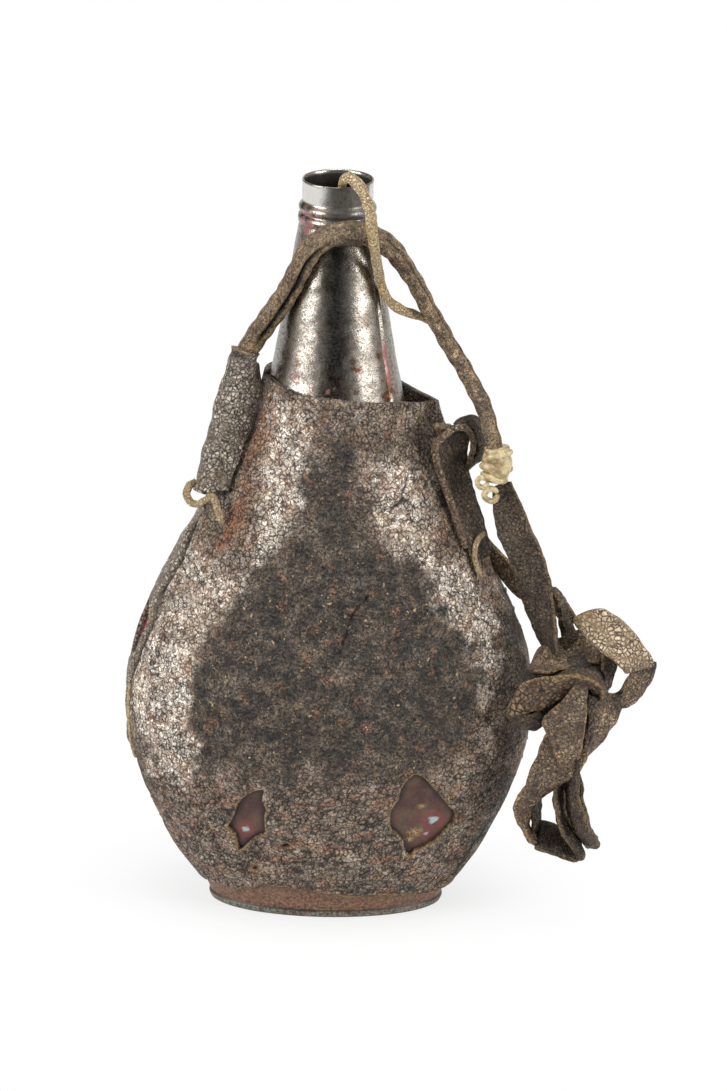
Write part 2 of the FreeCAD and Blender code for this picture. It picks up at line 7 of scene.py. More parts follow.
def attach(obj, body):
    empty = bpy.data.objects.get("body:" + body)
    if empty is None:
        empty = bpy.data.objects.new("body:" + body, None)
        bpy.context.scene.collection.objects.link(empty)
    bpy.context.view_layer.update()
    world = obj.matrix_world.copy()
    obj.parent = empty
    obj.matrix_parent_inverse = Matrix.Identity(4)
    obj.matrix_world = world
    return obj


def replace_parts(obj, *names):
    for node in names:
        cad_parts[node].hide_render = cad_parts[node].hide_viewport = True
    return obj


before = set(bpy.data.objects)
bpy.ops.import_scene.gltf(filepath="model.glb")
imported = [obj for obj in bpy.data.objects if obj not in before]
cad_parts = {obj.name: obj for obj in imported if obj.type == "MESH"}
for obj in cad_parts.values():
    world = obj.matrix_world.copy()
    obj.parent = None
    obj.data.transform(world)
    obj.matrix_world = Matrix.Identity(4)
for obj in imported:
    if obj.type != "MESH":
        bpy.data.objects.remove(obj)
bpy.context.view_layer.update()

bpy.context.scene.view_settings.view_transform = "Standard"

# Worn water flask: a tin bottle in a cracked leather cover, with a leather carrying strap.
# Points and sizes are in millimetres and turned to metres when a mesh is made.
# +Z is up, the front faces -Y, and the origin is the middle of the flat base.
MM = 0.001

# Camera
CAMERA_TARGET = (11.45, 0.0, 134.94)
CAMERA_RIGHT = (0.99981571, 0.00599603, 0.01823703)
CAMERA_UP = (-0.01919744, 0.31227736, 0.94979698)
CAMERA_BACK = (0.0, -0.94997205, 0.31233492)
CAMERA_DISTANCE = 2500.0
CAMERA_LENS = 229.15

# Tin bottle: height, half width and half depth
BOTTLE = ((0.6, 41.0, 21.9), (9.0, 45.0, 24.2), (18.9, 52.3, 28.7), (30.1, 58.2, 32.3), (45.3, 64.8, 36.4),
          (59.8, 69.4, 39.2), (75.0, 71.0, 40.2), (96.8, 69.0, 39.6), (113.1, 63.5, 37.9),
          (129.5, 55.8, 35.4), (146.9, 46.5, 32.5), (165.5, 36.4, 29.4), (184.0, 27.0, 26.4),
          (192.0, 24.9, 24.9), (256.5, 13.6, 13.6))
NECK_BASE = 186.0
NECK_TOP = 256.4
LAP_START = 57.0
LAP_END = 71.0
LAP_RISE = 0.55

# Leather cover
LEATHER = 2.2
EAR_REACH = 10.0
EAR_FOOT = 125.0
EAR_TOP = 184.0
TOP_LINE = ((-90, 203), (-30, 202), (-26, 200.3), (-19, 199), (-12, 198), (0, 197.3), (12, 195.6),
            (24, 193.3), (31, 191.2), (38, 190.2), (90, 186))
FRONT_RAG = ((-90, 7.5), (-45, 7.5), (-40, 9), (-34, 8.4), (-28, 9.5), (-24, 12.6), (-19, 12.2), (-14, 12.8),
             (-11, 11.3), (-3, 11.3), (4, 9.6), (10, 8.5), (18, 9.2), (25, 8.6), (33, 7.2), (40, 6.8),
             (90, 6))
BACK_RAG = ((-90, 7.5), (-44, 7.5), (-35, 8), (-20, 10.5), (-12, 8.5), (4, 9.5), (15, 8), (28, 10), (38, 7.5),
            (90, 6))
LEFT_HOLE = ((-22.5, 54.5), (-25.5, 53.8), (-28.5, 52), (-30.2, 50.2), (-32.5, 46.5), (-33.2, 43),
             (-34.5, 39.5), (-36, 36.5), (-34.2, 35.6), (-33, 34), (-32.3, 30), (-31.5, 27.5), (-30, 28.2),
             (-27.5, 32), (-24.5, 34.6), (-21.5, 35), (-22.2, 38.5), (-22.5, 43), (-21.6, 46), (-23.5, 49.5))
RIGHT_HOLE = ((31, 61), (33, 60.8), (36, 58), (38, 55.2), (41, 51), (44, 46.4), (46.5, 43), (47, 41.2),
              (46.3, 38.6), (44, 36), (42, 33.6), (40, 31.5), (36, 29.6), (32, 28), (30.6, 26), (29.3, 27),
              (28, 32), (27, 35), (24, 38.2), (23, 40.5), (22.8, 44), (23.4, 47), (26, 51), (26.2, 54),
              (28, 58))
TEARS = (((-16.6, 31), (-14.5, 33), (-12.6, 32.4), (-14.6, 31)),
         ((-27, 19.4), (-25.6, 21.6), (-23.5, 20.6), (-25.4, 19)))
SEAM_LINE = ((210, 4), (160, 6), (147, 7), (133, 13), (125, 12.6), (117, 12), (107, 14.5), (97, 13),
             (87, 10.5), (78, 8), (69, 8), (58, 6), (45, 2), (35, 0.5), (-5, 0.5))
STRIP_TOP = 150.0
STRIP_BOTTOM = 52.0
BARE_TOP = 114.0
BARE_BOTTOM = 92.0

# The side of a cord that its cross sections start from
CORD_SIDE = (0.1, -1.0, 0.2)


# Small tools

def smooth_table(rows, column, at):
    """A smooth curve through a table of rows, read at one or many places of its first column."""
    rows = sorted(rows)
    xs = np.array([row[0] for row in rows], float)
    ys = np.array([row[column] for row in rows], float)
    slopes = np.gradient(ys, xs)
    at = np.clip(np.asarray(at, float), xs[0], xs[-1])
    index = np.clip(np.searchsorted(xs, at) - 1, 0, len(xs) - 2)
    span = xs[index + 1] - xs[index]
    t = (at - xs[index]) / span
    return ((2 * t ** 3 - 3 * t ** 2 + 1) * ys[index] + (t ** 3 - 2 * t ** 2 + t) * span * slopes[index]
            + (3 * t ** 2 - 2 * t ** 3) * ys[index + 1] + (t ** 3 - t ** 2) * span * slopes[index + 1])


def straight_table(rows, at):
    """Straight lines through a table of two columns, read at one or many places of its first column."""
    rows = sorted(rows)
    return np.interp(at, [row[0] for row in rows], [row[1] for row in rows])


def section(z, grow=0.0):
    """Half width and half depth of the bottle at a height, grown by some millimetres."""
    return smooth_table(BOTTLE, 1, z) + grow, smooth_table(BOTTLE, 2, z) + grow


def step(low, high, value):
    """0 below low, 1 above high, smooth between."""
    t = np.clip((np.asarray(value, float) - low) / (high - low), 0, 1)
    return t * t * (3 - 2 * t)


def noise_at(points, size, seed):
    """Smooth noise from -1 to 1 at points, with features of a size in mm."""
    shift = Vector((seed * 17.3, seed * 5.1, seed * 9.7))
    return np.array([noise.noise(Vector(point) / size + shift) for point in points])


def cells_at(points, size, seed):
    """Distance to the edge between two cells of a size in mm, in shares of a cell: 0 on the edge."""
    shift = Vector((seed * 7.9, seed * 3.3, seed * 12.1))
    out = np.empty(len(points))
    for number, point in enumerate(points):
        distances = noise.voronoi(Vector(point) / size + shift)[0]
        out[number] = distances[1] - distances[0]
    return out


def inside(outline, x, z):
    """Which places lie in a closed outline."""
    result = np.zeros(len(x), bool)
    for (ax, az), (bx, bz) in zip(outline, outline[1:] + outline[:1]):
        crosses = (az > z) != (bz > z)
        with np.errstate(divide="ignore", invalid="ignore"):
            at = ax + (z - az) * (bx - ax) / (bz - az if bz != az else 1)
        result ^= crosses & (x < at)
    return result


def nearest_on(outline, x, z, closed=True):
    """Nearest point of an outline to each place, and its distance."""
    best = np.full(len(x), np.inf)
    near_x = np.zeros(len(x))
    near_z = np.zeros(len(x))
    for (ax, az), (bx, bz) in zip(outline, outline[1:] + outline[:1] if closed else outline[1:]):
        dx, dz = bx - ax, bz - az
        t = np.clip(((x - ax) * dx + (z - az) * dz) / (dx * dx + dz * dz), 0, 1)
        px, pz = ax + t * dx, az + t * dz
        distance = np.hypot(x - px, z - pz)
        closer = distance < best
        best = np.where(closer, distance, best)
        near_x = np.where(closer, px, near_x)
        near_z = np.where(closer, pz, near_z)
    return near_x, near_z, best


def zone(outline, x, z, soft):
    """1 well inside an outline, 0 well outside, with a soft edge in mm."""
    distance = nearest_on(outline, x, z)[2]
    signed = np.where(inside(outline, x, z), distance, -distance)
    return step(-soft, soft, signed)


def piece_from(name, verts, faces, material, marks):
    """A mesh piece from points in mm, with named numbers for its points."""
    mesh = bpy.data.meshes.new(name)
    mesh.from_pydata([tuple(v) for v in np.asarray(verts, float) * MM], [], [tuple(f) for f in faces])
    mesh.update()
    for key, values in marks.items():
        layer = mesh.attributes.new(key, "FLOAT", "POINT")
        layer.data.foreach_set("value", np.asarray(values, np.float32))
    mesh.polygons.foreach_set("use_smooth", [True] * len(mesh.polygons))
    piece = bpy.data.objects.new(name, mesh)
    bpy.context.scene.collection.objects.link(piece)
    mesh.materials.append(material)
    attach(piece, "root")
    return piece


def grid_faces(rows, columns, closed=False, start=0):
    """Faces of a grid of points, row by row."""
    faces = []
    last = columns if closed else columns - 1
    for row in range(rows - 1):
        for column in range(last):
            there = (column + 1) % columns
            faces.append((start + row * columns + column, start + row * columns + there,
                          start + (row + 1) * columns + there, start + (row + 1) * columns + column))
    return faces


def capped_faces(rows, columns):
    """Faces of a closed tube of points, with a flat cap at each end."""
    return grid_faces(rows, columns, closed=True) + [tuple(range(columns - 1, -1, -1)),
                                                     tuple(range((rows - 1) * columns, rows * columns))]


def route(points):
    """Points along the smooth line that has the given points as its control points."""
    curve = bpy.data.curves.new("route", "CURVE")
    curve.dimensions = "3D"
    spline = curve.splines.new("NURBS")
    spline.points.add(len(points) - 1)
    for handle, point in zip(spline.points, points):
        handle.co = (*[value * MM for value in point], 1)
    spline.order_u = 3
    spline.use_endpoint_u = True
    spline.resolution_u = 12
    holder = bpy.data.objects.new("route", curve)
    mesh = bpy.data.meshes.new_from_object(holder)
    line = np.array([vertex.co for vertex in mesh.vertices]) / MM
    bpy.data.objects.remove(holder)
    bpy.data.curves.remove(curve)
    bpy.data.meshes.remove(mesh)
    return line


def even(line, count):
    """The same line with evenly spaced points, and how far along each lies."""
    lengths = np.concatenate([[0], np.cumsum(np.linalg.norm(np.diff(line, axis=0), axis=1))])
    at = np.linspace(0, lengths[-1], count)
    return np.stack([np.interp(at, lengths, line[:, axis]) for axis in range(3)], 1), at


def unit(vectors):
    return vectors / np.maximum(np.linalg.norm(vectors, axis=-1, keepdims=True), 1e-9)


def frames_along(line):
    """Two crosswise directions at each point of a line, without twist."""
    heading = unit(np.gradient(line, axis=0))
    side = np.array(CORD_SIDE)
    sides = []
    for direction in heading:
        side = side - direction * np.dot(side, direction)
        side = side / np.linalg.norm(side)
        sides.append(side)
    sides = np.array(sides)
    return sides, np.cross(heading, sides)


# Finishes

def tone(code):
    """A linear colour from sRGB hex."""
    values = [int(code[start:start + 2], 16) / 255 for start in (1, 3, 5)]
    linear = [value / 12.92 if value <= 0.04045 else ((value + 0.055) / 1.055) ** 2.4 for value in values]
    return linear + [1.0]


def add(tree, kind, values=(), out=0, **settings):
    """Adds a node with its settings, fills its sockets in order or by name, and gives one of its outputs."""
    node = tree.nodes.new("ShaderNode" + kind)
    for key, value in settings.items():
        setattr(node, key, value)
    if not isinstance(values, dict):
        open_sockets = [socket for socket in node.inputs if socket.enabled]
        values = {socket.identifier: value for socket, value in zip(open_sockets, values)}
    for key, value in values.items():
        socket = next(item for item in node.inputs if key in (item.identifier, item.name) and item.enabled)
        if isinstance(value, bpy.types.NodeSocket):
            tree.links.new(value, socket)
        else:
            socket.default_value = value
    outputs = [socket for socket in node.outputs if socket.enabled]
    return outputs[out] if outputs else None


def finish_of(name, *marks):
    """A new material: its node tree, its shader, the place of each point in millimetres, and the named
    numbers that a piece's points carry."""
    material = bpy.data.materials.new(name)
    material.use_nodes = True
    tree = material.node_tree
    metres = add(tree, "TexCoord", out=3)
    place = add(tree, "VectorMath", {"Vector": metres, "Scale": 1 / MM}, operation="SCALE")
    carried = [add(tree, "Attribute", attribute_name=mark, out=2) for mark in marks]
    return material, tree, tree.nodes["Principled BSDF"], place, *carried


def finished(material, tree, shader, colour, layers, roughness, bumps=()):
    """Joins up a finish. Over its first colour lie layers, each a share and a colour; a layer without a
    colour makes what lies below it lighter or darker. Bumps are heights, each with a depth in mm and a
    strength."""
    for share, over in layers:
        if over is None:
            colour = add(tree, "HueSaturation", {"Color": colour, "Value": share})
        else:
            colour = add(tree, "Mix", (share, colour, over), data_type="RGBA")
    tree.links.new(colour, shader.inputs["Base Color"])
    if isinstance(roughness, float):
        shader.inputs["Roughness"].default_value = roughness
    else:
        tree.links.new(roughness, shader.inputs["Roughness"])
    below = {}
    for height, depth, strength in bumps:
        surface = add(tree, "Bump", {"Height": height, "Distance": depth * MM, "Strength": strength, **below})
        below = {"Normal": surface}
    if bumps:
        tree.links.new(surface, shader.inputs["Normal"])
    return material


def bent(tree, place, size, reach):
    """The same places pushed about by a reach in mm, so that a pattern on them loses its regular shape."""
    push = add(tree, "TexNoise", {"Vector": place, "Scale": 1 / size, "Detail": 3.0}, out=1)
    push = add(tree, "VectorMath", (push, (0.5, 0.5, 0.5)), operation="SUBTRACT")
    push = add(tree, "VectorMath", {"Vector": push, "Scale": reach * 2}, operation="SCALE")
    return add(tree, "VectorMath", (place, push), operation="ADD")


def cover_leather():
    """Old vegetable tanned cowhide, dried out. Plates of its grain stand light and slightly glossy where they
    have been rubbed, and that light colour is partly painted sheen; the gaps between them hold dirt, and rust
    where the tin has stained it.
    Oil has made the middle nearly black, with its loose fibres showing. Real grain is finer than the picture
    can show, so its plates are drawn as coarse as they look there, 1.7 mm across."""
    plate = 1 / 1.7
    material, tree, shader, place, worn, dark, rust, torn, split = finish_of(
        "Dried cowhide cover", "worn", "dark", "rust", "torn", "split")
    moved = bent(tree, place, 2.4, 1.15)
    gap = add(tree, "TexVoronoi", {"Vector": moved, "Scale": plate}, feature="DISTANCE_TO_EDGE")
    dome = add(tree, "TexVoronoi", {"Vector": moved, "Scale": plate})
    tint = add(tree, "SeparateColor", (add(tree, "TexVoronoi", {"Vector": moved, "Scale": plate}, out=1),))
    cloud = add(tree, "TexNoise", {"Vector": place, "Scale": 1 / 9, "Detail": 6.0, "Roughness": 0.6})
    fibre = add(tree, "TexNoise", {"Vector": moved, "Scale": 1 / 0.8, "Detail": 3.0, "Roughness": 0.85})
    patch = add(tree, "TexNoise", {"Vector": place, "Scale": 1 / 3.6, "Detail": 5.0, "Roughness": 0.7})
    strand = add(tree, "TexNoise", {"Vector": moved, "Scale": 1 / 2.6, "Detail": 1.0, "Distortion": 0.8})
    fleck = add(tree, "TexNoise", {"Vector": place, "Scale": 1 / 1.5, "Detail": 2.0})
    # The plain hide, the rubbed grain with its partly painted sheen, and the oiled middle
    plain = add(tree, "MapRange", (cloud, 0.36, 0.64))
    rubbed = add(tree, "MapRange", (patch, 0.36, 0.54, 0.45, 1.0))
    rubbed = add(tree, "Math", (worn, rubbed), operation="MULTIPLY")
    pale_and_sheen = add(tree, "Mix", (tint, tone("#b3a28e"), tone("#fff6e8")), data_type="RGBA")
    soot = add(tree, "MapRange", (patch, 0.36, 0.64))
    soot = add(tree, "Mix", (soot, tone("#1d1b19"), tone("#483e34")), data_type="RGBA")
    # Rust from the tin
    stain = add(tree, "MapRange", (patch, 0.4, 0.52, 0.0, 0.9))
    for share in (rust, add(tree, "MapRange", (dark, 0.0, 1.0, 1.0, 0.6))):
        stain = add(tree, "Math", (stain, share), operation="MULTIPLY")
    # Dirt in the gaps between the plates, which are wider where the hide is plain
    dirt = add(tree, "Math", (worn, add(tree, "MapRange", (cloud, 0.44, 0.56))), operation="MULTIPLY")
    dirt = add(tree, "Mix", (dirt, tone("#1d160f"), tone("#6b472d")), data_type="RGBA")
    wide = add(tree, "MapRange", (patch, 0.38, 0.6, 0.26, 0.05))
    groove = add(tree, "Math", (gap, wide), operation="DIVIDE")
    groove = add(tree, "MapRange", (groove, 0.15, 1.0, 1.0, 0.0))
    faint = add(tree, "MapRange", (dark, 0.0, 1.0, 1.0, 0.55))
    groove = add(tree, "Math", (groove, faint), operation="MULTIPLY")
    # How light the fibres are, from least to most, and more unevenly in the dark middle
    least = add(tree, "MapRange", (dark, 0.0, 1.0, 0.45, 0.02))
    most = add(tree, "MapRange", (dark, 0.0, 1.0, 1.8, 2.4))
    lively = add(tree, "MapRange", (fibre, 0.42, 0.58, least, most))
    # Loose strands, flecks and the fibres of torn edges
    strand = add(tree, "Math", (strand, 0.5), operation="SUBTRACT")
    strand = add(tree, "Math", (strand,), operation="ABSOLUTE")
    loose = add(tree, "MapRange", (strand, 0.0, 0.02, 1.0, 0.0))
    for share in (add(tree, "MapRange", (patch, 0.5, 0.6, 0.0, 0.8)),
                  add(tree, "MapRange", (dark, 0.1, 0.9, 0.1, 1.0))):
        loose = add(tree, "Math", (loose, share), operation="MULTIPLY")
    fleck = add(tree, "MapRange", (fleck, 0.68, 0.74, 0.0, 0.9))
    fray = add(tree, "MapRange", (fibre, 0.36, 0.52, 0.1, 1.0))
    fray = add(tree, "Math", (fray, torn), operation="MULTIPLY")
    # The near-black crack layer darkens the cracks, the gash and the small hole, and is also painted shade in
    # folds and on the turned-in rim's walls.
    layers = ((plain, tone("#8b765f")), (rubbed, pale_and_sheen), (dark, soot), (stain, tone("#8c5a3b")),
              (groove, dirt), (lively, None), (loose, tone("#a98a62")), (fleck, tone("#c9ad7c")),
              (split, tone("#15110e")), (fray, tone("#ad8c5c")))
    roughness = add(tree, "MapRange", (rubbed, 0.0, 1.0, 0.7, 0.42))
    return finished(material, tree, shader, tone("#503f33"), layers, roughness,
                    ((fibre, 0.55, 1.0), (patch, 0.9, 1.0), (dome, -1.0, 1.0)))


def strap_finish(name, cell, light, deep, gap_tone, gap_share, rim, dents, reach):
    """Dry strap leather that has lost its finish: scales of its grain, loose fibres, and a rubbed tan edge.
    cell is the width of a scale in mm, dents the depth of the gaps between them, and reach how dark and how
    light its fibres are. The scales are drawn coarser than real grain, so that the picture shows them."""
    material, tree, shader, place, edge, shade = finish_of(name, "edge", "shade")
    moved = bent(tree, place, 2.5, 0.8)
    gap = add(tree, "TexVoronoi", {"Vector": moved, "Scale": 1 / cell}, feature="DISTANCE_TO_EDGE")
    cloud = add(tree, "TexNoise", {"Vector": place, "Scale": 1 / 6, "Detail": 5.0, "Roughness": 0.6})
    fibre = add(tree, "TexNoise", {"Vector": moved, "Scale": 1 / 1.1, "Detail": 3.0, "Roughness": 0.75})
    plain = add(tree, "MapRange", (cloud, 0.36, 0.64))
    line = add(tree, "Math", (add(tree, "MapRange", (gap, 0.02, 0.2, gap_share, 0.0)),
                              add(tree, "MapRange", (cloud, 0.38, 0.54, 0.35, 1.0))), operation="MULTIPLY")
    lively = add(tree, "MapRange", (fibre, 0.36, 0.66, *reach))
    worn = add(tree, "MapRange", (fibre, 0.4, 0.6, 0.1, 1.0))
    edge = add(tree, "Math", (edge, worn), operation="MULTIPLY")
    layers = ((plain, tone(light)), (line, tone(gap_tone)), (lively, None), (edge, tone(rim)),
              (shade, tone("#17120e")))
    roughness = add(tree, "MapRange", (cloud, 0.3, 0.7, 0.48, 0.66))
    scales = add(tree, "MapRange", (gap, 0.0, 0.25))
    return finished(material, tree, shader, tone(deep), layers, roughness,
                    ((fibre, 0.55, 1.0), (scales, dents, 1.0)))


def rawhide_finish():
    """Untanned hide, dried hard: cream and slightly glossy, with tan in its folds."""
    material, tree, shader, place, shade = finish_of("Dried rawhide", "shade")
    cloud = add(tree, "TexNoise", {"Vector": place, "Scale": 1 / 3, "Detail": 5.0, "Roughness": 0.65})
    fibre = add(tree, "TexNoise", {"Vector": place, "Scale": 1 / 0.8, "Detail": 3.0, "Roughness": 0.7})
    layers = ((add(tree, "MapRange", (cloud, 0.38, 0.6)), tone("#cdbb92")),
              (add(tree, "MapRange", (fibre, 0.3, 0.7, 0.7, 1.25)), None), (shade, tone("#2c2116")))
    return finished(material, tree, shader, tone("#8f7a55"), layers, 0.52, ((fibre, 0.2, 1.0),))


def tinplate():
    """Tinned steel sheet, worn and corroded: dull dark steel with specks of bright tin and brown rust."""
    material, tree, shader, place, clean, stain, red, shade = finish_of(
        "Corroded tinplate", "clean", "stain", "red", "shade")
    cloud = add(tree, "TexNoise", {"Vector": place, "Scale": 1 / 8, "Detail": 6.0, "Roughness": 0.65})
    pit = add(tree, "TexNoise", {"Vector": place, "Scale": 1 / 0.7, "Detail": 4.0, "Roughness": 0.75})
    plain = add(tree, "MapRange", (cloud, 0.36, 0.64))
    pitted = add(tree, "Math", (add(tree, "MapRange", (pit, 0.49, 0.61)),
                                add(tree, "MapRange", (clean, 0.0, 1.0, 1.0, 0.1))), operation="MULTIPLY")
    specks = add(tree, "Math", (pitted, 0.8), operation="MULTIPLY")
    rusty = add(tree, "Math", (stain, add(tree, "MapRange", (cloud, 0.52, 0.64))), operation="MULTIPLY")
    layers = ((plain, tone("#b9b3aa")), (clean, tone("#dedbd6")), (specks, tone("#3a322b")),
              (rusty, tone("#5e4532")), (red, tone("#8f4a4a")), (shade, tone("#120d0a")))
    covered = add(tree, "Math", (red, shade), operation="MAXIMUM")
    tree.links.new(add(tree, "MapRange", (covered, 0.0, 1.0, 1.0, 0.0)), shader.inputs["Metallic"])
    roughness = add(tree, "MapRange", (pitted, 0.0, 1.0, 0.24, 0.5))
    return finished(material, tree, shader, tone("#857d73"), layers, roughness,
                    ((cloud, 0.12, 0.5), (pit, 0.05, 1.0)))


def paint_on_tin():
    """Old oil paint on tinned sheet: dark red-brown and dull, rubbed brown and gold, chipped to bare tin."""
    material, tree, shader, place, foot, rose, scuff, rim, bare, shade = finish_of(
        "Old red-brown paint on tin", "foot", "rose", "scuff", "rim", "bare", "shade")
    cloud = add(tree, "TexNoise", {"Vector": place, "Scale": 1 / 7, "Detail": 6.0, "Roughness": 0.6})
    grit = add(tree, "TexNoise", {"Vector": place, "Scale": 1 / 1.0, "Detail": 3.0, "Roughness": 0.7})
    plain = add(tree, "MapRange", (cloud, 0.38, 0.62))
    earth = add(tree, "MapRange", (grit, 0.36, 0.62))
    earth = add(tree, "Mix", (earth, tone("#4f3026"), tone("#80624a")), data_type="RGBA")
    dull = add(tree, "MapRange", (grit, 0.4, 0.6))
    dull = add(tree, "Mix", (dull, tone("#33322b"), tone("#80826f")), data_type="RGBA")
    scuff = add(tree, "Math", (scuff, add(tree, "MapRange", (grit, 0.42, 0.56))), operation="MULTIPLY")
    lively = add(tree, "MapRange", (grit, 0.3, 0.7, 0.75, 1.25))
    layers = ((plain, tone("#5a4333")), (foot, earth), (rose, tone("#7f2b31")), (scuff, tone("#a58a55")),
              (lively, None), (rim, dull), (bare, tone("#b4bbbb")), (shade, tone("#120d0b")))
    tree.links.new(bare, shader.inputs["Metallic"])
    roughness = add(tree, "MapRange", (grit, 0.3, 0.7, 0.4, 0.6))
    return finished(material, tree, shader, tone("#44231f"), layers, roughness, ((grit, 0.08, 1.0),))


def thread_finish():
    """Waxed linen thread, dirty cream."""
    material, tree, shader, place = finish_of("Waxed linen thread")
    grit = add(tree, "TexNoise", {"Vector": place, "Scale": 1 / 0.7, "Detail": 3.0})
    layers = ((add(tree, "MapRange", (grit, 0.35, 0.65)), tone("#8f7a55")),)
    return finished(material, tree, shader, tone("#4b3d2a"), layers, 0.7)


def rusted_and_shaded_inside():
    """The inside of the bottle: tin gone brown with rust, with its colours darkened as painted shade."""
    material, tree, shader, place = finish_of("Rusted tin inside with painted shade")
    cloud = add(tree, "TexNoise", {"Vector": place, "Scale": 1 / 3, "Detail": 5.0})
    layers = ((add(tree, "MapRange", (cloud, 0.4, 0.6)), tone("#4c3a2c")),)
    return finished(material, tree, shader, tone("#241a14"), layers, 0.7)


COVER = cover_leather()
STRAP = strap_finish("Dry strap leather", 1.4, "#9a8367", "#523f30", "#20160f", 0.8, "#b08a54",
                     0.35, (0.2, 1.95))
STRAP_DARK = strap_finish("Oiled strap leather", 1.4, "#6c5a46", "#352a20", "#140f0b", 0.75, "#8f703f",
                          0.35, (0.2, 1.95))
STRAP_PEBBLE = strap_finish("Pebbled strap leather", 1.6, "#e0cdb0", "#a58b68", "#4d3218", 1.0, "#a58450",
                            0.45, (0.6, 1.35))
STRAP_CRACKED = strap_finish("Cracked strap leather", 2.2, "#92795c", "#59432f", "#140d09", 1.0, "#a8834f",
                             0.45, (0.25, 1.9))
ROLLED = strap_finish("Rolled strap leather", 0.95, "#776a5b", "#3f362d", "#b39266", 0.7, "#b08c5c",
                      -0.35, (0.25, 1.75))
SLEEVE = strap_finish("Stitched sleeve leather", 1.4, "#c2b5a5", "#736454", "#1a130e", 0.95, "#a8865a",
                      0.4, (0.3, 1.75))
LACE = strap_finish("Rubbed thong hide", 1.1, "#e2cca4", "#ab8f62", "#5c482e", 0.7, "#e0cba0",
                    0.3, (0.5, 1.4))
RAWHIDE = rawhide_finish()
TIN = tinplate()
PAINT = paint_on_tin()
THREAD = thread_finish()
INSIDE = rusted_and_shaded_inside()


# Camera

def set_camera():
    """A long lens, far away and a little above the flask."""
    camera = bpy.data.cameras.new("Camera")
    camera.lens = CAMERA_LENS
    camera.clip_end = 50
    holder = bpy.data.objects.new("Camera", camera)
    bpy.context.scene.collection.objects.link(holder)
    back = Vector(CAMERA_BACK)
    place = (Vector(CAMERA_TARGET) + back * CAMERA_DISTANCE) * MM
    matrix = Matrix((CAMERA_RIGHT, CAMERA_UP, CAMERA_BACK)).transposed().to_4x4()
    matrix.translation = place
    holder.matrix_world = matrix
    bpy.context.scene.camera = holder


set_camera()


# Stage

def plainly_seen(tree):
    """1 for the rays that show the white surroundings: from the camera, in a mirror and through glass."""
    seen = add(tree, "Math", (add(tree, "LightPath"), add(tree, "LightPath", out=3)), operation="MAXIMUM")
    return add(tree, "Math", (seen, add(tree, "LightPath", out=6)), operation="MAXIMUM")


def stage_light():
    """White surroundings for the camera and for reflections, and a dimmer room to light the flask."""
    world = bpy.data.worlds.new("Room")
    world.use_nodes = True
    bpy.context.scene.world = world
    tree = world.node_tree
    tree.nodes.clear()
    lit = add(tree, "Background", (tone("#ffffff"), 0.26))
    seen = add(tree, "Background", (tone("#ffffff"), 1.0))
    add(tree, "OutputWorld", {"Surface": add(tree, "MixShader", (plainly_seen(tree), lit, seen))})


def flat_sheet(name, corners, finish):
    """A sheet with four corners in metres, and the empty node tree of its material."""
    mesh = bpy.data.meshes.new(name)
    mesh.from_pydata(corners, [], [(0, 1, 2, 3)])
    sheet = bpy.data.objects.new(name, mesh)
    bpy.context.scene.collection.objects.link(sheet)
    material = bpy.data.materials.new(finish)
    material.use_nodes = True
    material.node_tree.nodes.clear()
    mesh.materials.append(material)
    return sheet, material.node_tree


def card(name, corners, shade):
    """A dark card that only reflections show, as a photographer sets up beside shiny metal."""
    sheet, tree = flat_sheet(name, corners, "Black card " + name)
    add(tree, "OutputMaterial", {"Surface": add(tree, "Emission", (tone(shade), 1.0))})
    sheet.visible_camera = False
    sheet.visible_diffuse = False
    sheet.visible_shadow = False
    sheet.visible_transmission = False


def lamp(name, place, width, height, power):
    """A rectangular lamp that points at the flask, with sizes in metres and its power in watts."""
    light = bpy.data.lights.new(name, "AREA")
    light.shape = "RECTANGLE"
    light.size = width
    light.size_y = height
    light.energy = power
    holder = bpy.data.objects.new(name, light)
    bpy.context.scene.collection.objects.link(holder)
    turn = (Vector(LIGHT_AIM) - Vector(place)).to_track_quat("-Z", "Y")
    holder.matrix_world = Matrix.Translation(Vector(place)) @ turn.to_matrix().to_4x4()


def floor():
    """A white sheet under the flask that keeps a faint shadow near it."""
    reach = 6.0
    corners = [(-reach, -reach, 0), (reach, -reach, 0), (reach, reach, 0), (-reach, reach, 0)]
    sheet, tree = flat_sheet("Floor", corners, "White paper sheet")
    paper = add(tree, "BsdfDiffuse", (tone("#f4f4f4"),))
    glow = add(tree, "Emission", (tone("#ffffff"), 1.0))
    spot = add(tree, "VectorMath", (add(tree, "NewGeometry"), (0.0, 0.0, 0.0)), operation="DISTANCE")
    shaded = add(tree, "MapRange", (spot, 0.03, 0.1, 0.3, 0.0))
    mixed = add(tree, "MixShader", (shaded, glow, paper))
    add(tree, "OutputMaterial", {"Surface": add(tree, "MixShader", (plainly_seen(tree), paper, mixed))})


LIGHT_AIM = (0.0, 0.0, 0.15)
stage_light()
lamp("Left light", (-2.2, -1.15, 1.0), 1.25, 1.3, 54)
lamp("Right light", (2.2, -1.15, 1.0), 1.15, 1.3, 49)
lamp("Top light", (0.0, -0.3, 2.4), 1.2, 1.0, 22)
floor()
card("front", [(-2.7, -3.0, -0.5), (2.7, -3.0, -0.5), (2.7, -3.0, 4.0), (-2.7, -3.0, 4.0)], "#161412")
card("low front", [(-0.9, -3.0, 0.004), (0.9, -3.0, 0.004), (0.3, -0.12, 0.004), (-0.3, -0.12, 0.004)],
     "#2a2622")
card("left", [(-2.9, -0.35, -0.5), (-1.6, 2.6, -0.5), (-1.6, 2.6, 3.5), (-2.9, -0.35, 3.5)], "#57493c")
card("right", [(2.9, -0.1, -0.5), (1.6, 2.6, -0.5), (1.6, 2.6, 3.5), (2.9, -0.1, 3.5)], "#c4bab0")


# Cords and bands

def past_angle(angle, middle):
    """How far an angle lies from another one round a cross section."""
    return np.abs((angle - middle + np.pi) % (2 * np.pi) - np.pi)


